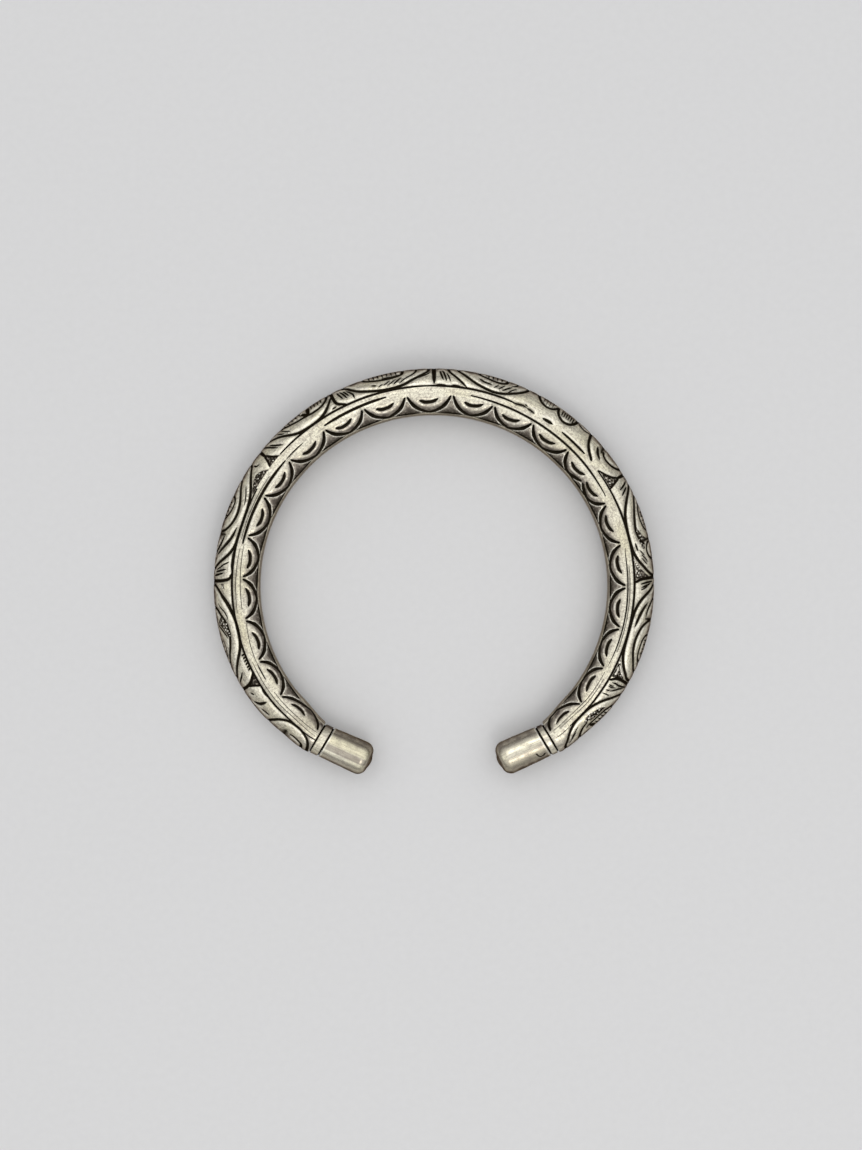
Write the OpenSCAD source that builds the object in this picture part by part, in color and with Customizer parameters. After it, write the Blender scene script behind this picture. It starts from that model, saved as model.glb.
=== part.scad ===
// Open silver kada: a stiff bangle lying on its side, open at the front.
// The hoop lies in the XY plane. +Y is its closed back, -Y its open mouth, and Z = 0 is what it rests on.
// The origin is the middle of the whole outline, at the height of the resting face.
// Angles along the bar are measured at the hoop's centre, from the back, and grow towards +X.

/* [Hoop] */
// Inner width of the hoop, side to side
inner_w = 63.4; // [57:0.1:70]
// Inner depth of the hoop, back to front, as a full oval
inner_d = 62.4; // [56:0.1:69]
// Angle from the back to the shoulder where the engraved bar ends
bar_end = 142.6; // [135:0.1:145]

/* [Bar] */
// Radial width of the bar at the back
bar_w = 8.5; // [7:0.1:10]
// Height of the bar at the back
bar_h = 8.0; // [7:0.1:9.5]
// Width of the flat land along the top and the bottom
land_w = 1.55; // [1:0.05:2]
// Height of the plain inner wall that faces the wrist
wall_h = 3.8; // [2.5:0.1:4.5]
// How far the inner wall bulges towards the wrist
wall_bulge = 0.1; // [0.05:0.01:0.2]
// Angle from the back at which the bar starts to get thinner
taper_start = 65; // [50:1:90]
// Thickness at the shoulder as a share of the thickness at the back
taper_ratio = 0.755; // [0.7:0.005:0.8]
// How late the bar gets thinner past that angle, where 1 is evenly
taper_power = 4; // [2:0.1:6]
// Angle from the back at which the bar starts to turn round and in towards the mouth
round_start = 126; // [115:1:132]
// How far the bar's end moves out from the inner oval
end_drift = 0.29; // [0:0.01:0.8]
// How far in from the oval the bar moves on its way there
end_dip = 0.25; // [0:0.01:0.4]
// How much more than the oval the bar turns in before the shoulder
end_turn = 6.3; // [3:0.1:9]

/* [Ends] */
// How much further the spigots and caps turn in than the faces of the shoulders
cap_turn = 6.4; // [0:0.1:8]
// Outer diameter of the collars
collar_d = 5.9; // [5.6:0.05:6.1]
// Length of the right collar's band
collar_len_right = 1.1; // [0.8:0.05:1.6]
// Length of the left collar's band
collar_len_left = 1.45; // [0.8:0.05:1.6]
// Width of the groove on each side of a collar's band
groove_w = 0.3; // [0.3:0.05:0.6]
// Depth of those grooves
groove_depth = 0.25; // [0.2:0.05:0.5]
// Diameter of an end cap at its mouth
cap_mouth_d = 5.9; // [5.6:0.05:6.1]
// Largest diameter of an end cap, near its tip
cap_tip_d = 6.25; // [6:0.05:6.4]
// Length of the right end cap
cap_len_right = 9.0; // [8:0.05:10]
// Length of the left end cap
cap_len_left = 8.85; // [8:0.05:10]
// Radius of the edge round a cap's end
cap_round = 1.8; // [1.2:0.05:2]
// Height of the low dome on a cap's end
cap_dome = 0.3; // [0.1:0.05:0.5]
// How far out the spigots sit from the middle of the shoulders
spigot_shift = 0.1; // [0:0.01:0.2]
// Diameter of the spigots that the collars and caps sit on
spigot_d = 3.4; // [3:0.1:4]
// Length of each spigot
spigot_len = 7; // [5:0.1:8]
// Gap between a spigot and what sits on it, and between neighbours along it
joint_gap = 0.05; // [0.03:0.01:0.1]

/* [Hidden] */

// Facets: angle between the bar's stations, pieces of each arc of the section, and $fn of turned parts
station_step = 3;
outer_steps = 14;
inner_steps = 6;
wall_steps = 4;
round_steps = 8;
turned_fn = 64;
// Side of the blocks that cut the ends' faces
cutter = 2 * collar_d;

outer_r = bar_h / 2;
// Where the section's parts start, measured outwards from the middle of the bar
outer_x = bar_w / 2 - outer_r;
land_x = outer_x - land_w;
wall_x = -bar_w / 2 + wall_bulge;
// The inner arc leaves the land level and ends on the wall's edge
inner_reach = land_x - wall_x;
inner_drop = outer_r - wall_h / 2;
inner_r = (inner_reach * inner_reach + inner_drop * inner_drop) / (2 * inner_drop);
inner_sweep = asin(inner_reach / inner_r);

function smooth(a, b, x) = let (t = min(1, max(0, (x - a) / (b - a)))) t * t * (3 - 2 * t);
function unit(v) = v / norm(v);
function circle_at(direction, r) = r * unit(direction);

// Upper half of the bar's section, from the outermost point over the top to the wall's middle, as [out, up]
upper_half = concat(
    [for (i = [0 : outer_steps / 2])
        let (t = i * 180 / outer_steps) [outer_x + outer_r * cos(t), outer_r * sin(t)]],
    [for (i = [0 : inner_steps])
        let (t = i * inner_sweep / inner_steps)
        [land_x - inner_r * sin(t), outer_r - inner_r * (1 - cos(t))]],
    [for (i = [1 : wall_steps / 2])
        let (t = i / (wall_steps / 2)) [wall_x - wall_bulge * (1 - pow(1 - t, 2)), wall_h / 2 * (1 - t)]]
);
// The lower half mirrors the upper one, and the two share their first and last points
section = concat(upper_half, [for (i = [len(upper_half) - 2 : -1 : 1]) [upper_half[i].x, -upper_half[i].y]]);

// Thickness of the bar at an angle, as a share of its thickness at the back
function thickness(a) =
    1 - (1 - taper_ratio) * pow(max(0, (abs(a) - taper_start) / (bar_end - taper_start)), taper_power);
// Direction that points out of the hoop, across the inner oval
function oval_out(a) = unit([sin(a) / inner_w, cos(a) / inner_d]);
// How far the section has become round and turned in, from 0 to 1
function rounding(a) = smooth(round_start, bar_end, abs(a));
// Compass angle of the section's outward direction
function out_angle(a) =
    let (o = oval_out(a)) atan2(o.x, o.y) + sign(a) * end_turn * rounding(a);
// Middle of the bar
function bar_point(a) =
    let (o = oval_out(a), r = rounding(a),
        reach = bar_w * thickness(a) / 2 + end_drift * r - 4 * end_dip * r * (1 - r))
    [inner_w / 2 * sin(a) + o.x * reach, inner_d / 2 * cos(a) + o.y * reach, 0];
// Directions out and along, clockwise seen from above, of something that points out at a compass angle
function out_of(angle) = [sin(angle), cos(angle), 0];
function along_of(angle) = [cos(angle), -sin(angle), 0];

// Middle of the spigot's root, in the plane of the shoulder's face
function spigot_point(a) = bar_point(a) + out_of(out_angle(a)) * spigot_shift;

// One ring of points: the outline of the section at an angle, which turns into a circle of the same width
function bar_ring(a) = [for (p = section)
    let (q = p * thickness(a), c = circle_at(p, bar_w / 2 * thickness(a)), m = q + (c - q) * rounding(a))
    bar_point(a) + out_of(out_angle(a)) * m.x + [0, 0, m.y]];
// One ring round a spigot: at its base the ring lies in the shoulder's face, at its tip it is square
function spigot_ring(a, reach) = [for (p = section)
    let (c = circle_at(p, spigot_d / 2), turned = out_angle(a) + sign(a) * cap_turn,
        slant = reach == 0 ? -sign(a) * c.x * tan(cap_turn) : 0)
    spigot_point(a) + along_of(turned) * (reach + slant) + out_of(turned) * c.x + [0, 0, c.y]];

// Right-hand shoulder: where its spigot starts, the compass angle of its face and that of its spigot
shoulder = spigot_point(bar_end);
face_angle = out_angle(bar_end);
spigot_angle = face_angle + cap_turn;

// Where a cap's mouth is, measured square to the shoulder's face, after a band of a given length
function cap_start(band) = band + 2 * groove_w;
// Lowest point of the outline at a cap's rounded edge
function cap_low(band, length) =
    let (reach = cap_start(band) / cos(cap_turn) + length - cap_dome - cap_round,
        c = shoulder + along_of(spigot_angle) * reach + out_of(spigot_angle) * (cap_tip_d / 2 - cap_round))
    c.y - cap_round;

// Outline of the whole kada from back to front, which sets the origin
outline_back = inner_d / 2 + bar_w;
outline_front = min(cap_low(collar_len_right, cap_len_right), cap_low(collar_len_left, cap_len_left));
hoop_centre = [0, -(outline_back + outline_front) / 2, bar_h / 2];

// A solid through a list of rings that all have the same number of points
module skin(rings) {
    n = len(rings[0]);
    last = len(rings) - 1;
    points = [for (r = rings) each r];
    walls = [for (k = [0 : last - 1]) for (i = [0 : n - 1])
        let (j = (i + 1) % n, a = k * n + i, b = k * n + j, c = a + n, d = b + n)
        each [[a, c, d], [a, d, b]]];
    ends = [[for (i = [0 : n - 1]) i], [for (i = [n - 1 : -1 : 0]) last * n + i]];
    polyhedron(points, concat(walls, ends), convexity = 6);
}

// The bar, with a spigot beyond the shoulder at each end
module bar() {
    stations = floor(bar_end / station_step);
    angles = concat([-bar_end], [for (k = [-stations : stations]) k * station_step], [bar_end]);
    skin(concat(
        [spigot_ring(-bar_end, -spigot_len), spigot_ring(-bar_end, 0)],
        [for (a = angles) bar_ring(a)],
        [spigot_ring(bar_end, 0), spigot_ring(bar_end, spigot_len)]
    ));
}

// Puts its children on the right-hand shoulder, with Z along what points out at a compass angle
module at_shoulder(angle) {
    translate(shoulder) rotate([0, 90, -angle]) children();
}

// A round rod on the spigot's axis, cut square to the shoulder's face at two distances from it
module slice(d, from, to) {
    intersection() {
        at_shoulder(spigot_angle) translate([0, 0, -cutter / 2]) cylinder(d = d, h = 2 * cutter, $fn = turned_fn);
        at_shoulder(face_angle) translate([-cutter / 2, -cutter / 2, from]) cube([cutter, cutter, to - from]);
    }
}

// A clear hole on the spigot's axis
module bore(depth) {
    at_shoulder(spigot_angle) translate([0, 0, -cutter / 2])
        cylinder(d = spigot_d + 2 * joint_gap, h = cutter / 2 + depth, $fn = turned_fn);
}

// A band between two grooves, bored to sit on the spigot
module collar(band) {
    difference() {
        union() {
            slice(collar_d, groove_w, groove_w + band);
            slice(collar_d - 2 * groove_depth, joint_gap, cap_start(band) - joint_gap);
        }
        bore(cutter);
    }
}

// A thimble: it widens a little towards its tip, and its end is rounded and slightly domed
module end_cap(band, length) {
    mouth = cap_start(band) / cos(cap_turn);
    tip_z = mouth + length;
    edge_z = tip_z - cap_dome - cap_round;
    flat_r = cap_tip_d / 2 - cap_round;
    slope = (cap_tip_d - cap_mouth_d) / 2 / (edge_z - mouth);
    edge = [for (i = [0 : round_steps])
        let (t = i * 90 / round_steps) [flat_r + cap_round * cos(t), edge_z + cap_round * sin(t)]];
    dome = [for (i = [1 : round_steps / 2])
        let (t = i / (round_steps / 2)) [flat_r * (1 - t), tip_z - cap_dome * pow(1 - t, 2)]];
    difference() {
        at_shoulder(spigot_angle) rotate_extrude($fn = turned_fn)
            polygon(concat([[0, 0], [cap_mouth_d / 2 - slope * mouth, 0]], edge, dome));
        at_shoulder(face_angle)
            translate([-cutter / 2, -cutter / 2, cap_start(band) - cutter]) cube(cutter);
        bore(spigot_len + joint_gap);
    }
}

// Moves a right-hand piece from the hoop's centre to the frame, or mirrors it to the left
module placed(side = 1) {
    translate(hoop_centre) mirror([side < 0 ? 1 : 0, 0, 0]) children();
}

module engraved_bar() { color([0.80, 0.78, 0.70]) placed() bar(); }
module collar_right() { color([0.84, 0.82, 0.74]) placed(1) collar(collar_len_right); }
module collar_left() { color([0.84, 0.82, 0.74]) placed(-1) collar(collar_len_left); }
module end_cap_right() { color([0.72, 0.71, 0.64]) placed(1) end_cap(collar_len_right, cap_len_right); }
module end_cap_left() { color([0.72, 0.71, 0.64]) placed(-1) end_cap(collar_len_left, cap_len_left); }

engraved_bar();
collar_right();
collar_left();
end_cap_right();
end_cap_left();
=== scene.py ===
# Looks of an open silver kada: a chased bar, two collars and two end caps, lying on a pale floor.
# Sizes are in millimetres and angles in degrees, unless a name says otherwise. Blender gets metres.
import math

import bmesh
import bpy
import numpy as np
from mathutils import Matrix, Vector, noise
from mathutils.geometry import delaunay_2d_cdt


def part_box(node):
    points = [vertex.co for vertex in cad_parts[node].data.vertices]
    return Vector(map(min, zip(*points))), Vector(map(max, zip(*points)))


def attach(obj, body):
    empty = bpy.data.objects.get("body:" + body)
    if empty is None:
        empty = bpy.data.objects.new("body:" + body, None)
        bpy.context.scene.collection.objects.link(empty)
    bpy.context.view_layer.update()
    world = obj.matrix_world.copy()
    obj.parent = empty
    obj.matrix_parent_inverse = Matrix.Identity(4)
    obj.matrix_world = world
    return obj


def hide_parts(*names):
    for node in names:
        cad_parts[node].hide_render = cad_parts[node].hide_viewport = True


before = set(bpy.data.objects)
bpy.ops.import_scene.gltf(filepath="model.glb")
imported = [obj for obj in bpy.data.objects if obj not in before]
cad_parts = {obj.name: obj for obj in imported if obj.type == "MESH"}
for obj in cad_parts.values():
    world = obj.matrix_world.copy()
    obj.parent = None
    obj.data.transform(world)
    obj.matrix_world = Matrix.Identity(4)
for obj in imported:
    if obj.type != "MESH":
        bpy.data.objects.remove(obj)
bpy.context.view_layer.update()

MM = 0.001

# Driving sizes of the bar, the same as those that the frame was built from
INNER_W = 63.4
INNER_D = 62.4
BAR_END = 142.6
BAR_W = 8.5
BAR_H = 8.0
LAND_W = 1.55
WALL_H = 3.8
WALL_BULGE = 0.1
TAPER_START = 65
TAPER_RATIO = 0.755
TAPER_POWER = 4
ROUND_START = 126
END_DRIFT = 0.29
END_DIP = 0.25
END_TURN = 6.3

# Driving sizes of the ends
CAP_TURN = 6.4
COLLAR_D = 5.9
GROOVE_W = 0.3
GROOVE_DEPTH = 0.25
CAP_MOUTH_D = 5.9
CAP_TIP_D = 6.25
CAP_ROUND = 1.8
CAP_DOME = 0.3
SPIGOT_SHIFT = 0.1
SPIGOT_D = 3.4
SPIGOT_LEN = 7.0
JOINT_GAP = 0.05
# Side, 1 for the right, and the lengths of its collar's band and of its cap
ENDS = {
    "right": (1, 1.1, 9.0),
    "left": (-1, 1.45, 8.85),
}

# Middle of the hoop in the frame
HOOP_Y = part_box("engraved_bar")[1][1] / MM - INNER_D / 2 - BAR_W
HOOP_Z = BAR_H / 2

# Section of the bar, followed from its outermost point over the top to the middle of the wall at the wrist
OUTER_R = BAR_H / 2
OUTER_X = BAR_W / 2 - OUTER_R
LAND_X = OUTER_X - LAND_W
WALL_X = WALL_BULGE - BAR_W / 2
INNER_REACH = LAND_X - WALL_X
INNER_DROP = OUTER_R - WALL_H / 2
INNER_R = (INNER_REACH ** 2 + INNER_DROP ** 2) / (2 * INNER_DROP)
INNER_SWEEP = math.asin(INNER_REACH / INNER_R)
T_LAND = OUTER_R * math.pi / 2
T_INNER = T_LAND + LAND_W
T_WALL = T_INNER + INNER_R * INNER_SWEEP
T_END = T_WALL + WALL_H / 2

# The unrolled bar: millimetres along it for one degree, and its half length
ALONG = 0.62
S_END = BAR_END * ALONG

# Height of the camera over the middle of the bar
CAMERA_H = 400.0


def smooth(low, high, x):
    """0 up to low, 1 from high, and a smooth step between them."""
    u = np.clip((x - low) / (high - low), 0, 1)
    return u * u * (3 - 2 * u)


def unit(v):
    return v / np.maximum(np.linalg.norm(v, axis=-1, keepdims=True), 1e-9)


def thickness(angle):
    """The bar's thickness as a share of what it is at the back: it tapers towards the mouth."""
    u = np.maximum(0, (np.abs(angle) - TAPER_START) / (BAR_END - TAPER_START))
    return 1 - (1 - TAPER_RATIO) * u ** TAPER_POWER


def rounding(angle):
    """How far the section has gone over into a circle: 0 along most of the bar and 1 at its ends."""
    return smooth(ROUND_START, BAR_END, np.abs(angle))


def oval_out(angle):
    """The direction straight out from the inner oval."""
    a = np.radians(angle)
    return unit(np.stack([np.sin(a) / INNER_W, np.cos(a) / INNER_D], -1))


def out_angle(angle):
    """The compass angle of the section's outward direction, which turns a little more at the ends."""
    o = oval_out(angle)
    return np.degrees(np.arctan2(o[..., 0], o[..., 1])) + np.sign(angle) * END_TURN * rounding(angle)


def out_of(compass):
    """The direction at a compass angle, clockwise from the back."""
    a = np.radians(compass)
    return np.stack([np.sin(a), np.cos(a)], -1)


def along_of(compass):
    """The direction a quarter turn clockwise of it, along the bar."""
    a = np.radians(compass)
    return np.stack([np.cos(a), -np.sin(a)], -1)


def bar_point(angle):
    """The middle of the bar's section, seen from above."""
    a = np.radians(angle)
    r = rounding(angle)
    reach = BAR_W * thickness(angle) / 2 + END_DRIFT * r - 4 * END_DIP * r * (1 - r)
    oval = np.stack([INNER_W / 2 * np.sin(a), INNER_D / 2 * np.cos(a)], -1)
    return oval + oval_out(angle) * reach[..., None]


def section(t):
    """Place and outward normal of the section, as [out, up], at a distance t along it."""
    outer = np.minimum(t, T_LAND) / OUTER_R
    inner = np.clip(t - T_INNER, 0, T_WALL - T_INNER) / INNER_R
    wall = np.clip((t - T_WALL) / (T_END - T_WALL), 0, 1)
    land = np.clip(t - T_LAND, 0, LAND_W)
    x = OUTER_X + OUTER_R * np.cos(outer) - land - INNER_R * np.sin(inner)
    x = x - WALL_BULGE * (1 - (1 - wall) ** 2)
    z = OUTER_R * np.sin(outer) - INNER_R * (1 - np.cos(inner)) - wall * WALL_H / 2
    lean = np.where(t < T_LAND, outer, math.pi / 2 + inner + wall * (math.pi / 2 - INNER_SWEEP))
    return np.stack([x, z], -1), np.stack([np.cos(lean), np.sin(lean)], -1)


def to_frame(flat, z):
    """Millimetres from the hoop's middle, turned into metres in the frame."""
    return np.concatenate([flat + [0, HOOP_Y], (z + HOOP_Z)[..., None]], -1) * MM


def bar_surface(angle, t, height, side):
    """Points on the bar, raised by a height; side is 1 for the upper half and -1 for the lower one."""
    place, normal = section(t)
    share = thickness(angle)[..., None]
    turn = rounding(angle)[..., None]
    radial = unit(place)
    place = place * share
    place = place + (radial * share * BAR_W / 2 - place) * turn
    normal = unit(normal * (1 - turn) + radial * turn)
    place = place + normal * height[..., None] * share
    flat = bar_point(angle) + out_of(out_angle(angle)) * place[..., :1]
    return to_frame(flat, side * place[..., 1])


# The chart of the ornament.
# A place is (angle, round). Angle is measured from the back of the hoop and grows to the right.
# Round is the angle round the section as it looks from straight above: 0 at the middle of the bar,
# 90 at its outer edge and -90 at its inner edge.

# Kinds of cut: darkened width at the start, a sixth of the way in, the middle, a sixth before the end
# and the end; then the depth of the cut, and how dark it is
KINDS = {
    "leaf": (0.40, 0.50, 0.46, 0.50, 0.38, 0.22, 1.0),
    "inner": (0.36, 0.47, 0.51, 0.47, 0.34, 0.21, 1.0),
    "line": (0.18, 0.38, 0.42, 0.38, 0.16, 0.18, 1.0),
    "bold": (0.10, 0.44, 0.54, 0.42, 0.08, 0.22, 1.0),
    "stem": (0.46, 0.48, 0.50, 0.48, 0.36, 0.22, 1.0),
    "leg": (0.12, 0.30, 0.34, 0.30, 0.16, 0.14, 1.0),
    "broad": (0.30, 0.60, 0.64, 0.56, 0.20, 0.24, 1.0),
    "cut": (0.10, 0.28, 0.33, 0.28, 0.10, 0.14, 1.0),
    "hair": (0.08, 0.20, 0.24, 0.20, 0.07, 0.11, 1.0),
    "block": (1.50, 1.60, 1.60, 1.50, 1.10, 0.12, 0.22),
    "wedge": (0.90, 1.00, 1.05, 1.10, 0.50, 0.14, 0.22),
    "sliver": (0.45, 0.52, 0.56, 0.60, 0.25, 0.14, 0.26),
    "border": (0.20, 0.37, 0.38, 0.37, 0.22, 0.15, 1.0),
    "rib": (0.20, 0.34, 0.36, 0.34, 0.12, 0.13, 1.0),
    "furrow": (0.26, 0.46, 0.48, 0.46, 0.22, 0.15, 1.0),
    "fine": (0.06, 0.20, 0.24, 0.20, 0.05, 0.08, 0.8),
    "faint": (0.06, 0.11, 0.13, 0.11, 0.06, 0.04, 0.36),
    "scallop": (0.34, 0.64, 0.46, 0.64, 0.34, 0.23, 1.0),
    "smile": (0.36, 0.58, 0.58, 0.54, 0.24, 0.20, 1.0),
    "base": (0.10, 0.30, 0.42, 0.30, 0.10, 0.08, 0.9),
    "blot": (0.30, 0.55, 0.62, 0.50, 0.20, 0.12, 0.30),
    "ridge": (0.18, 0.34, 0.38, 0.40, 0.26, 0.0, 0.0),
}

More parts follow.
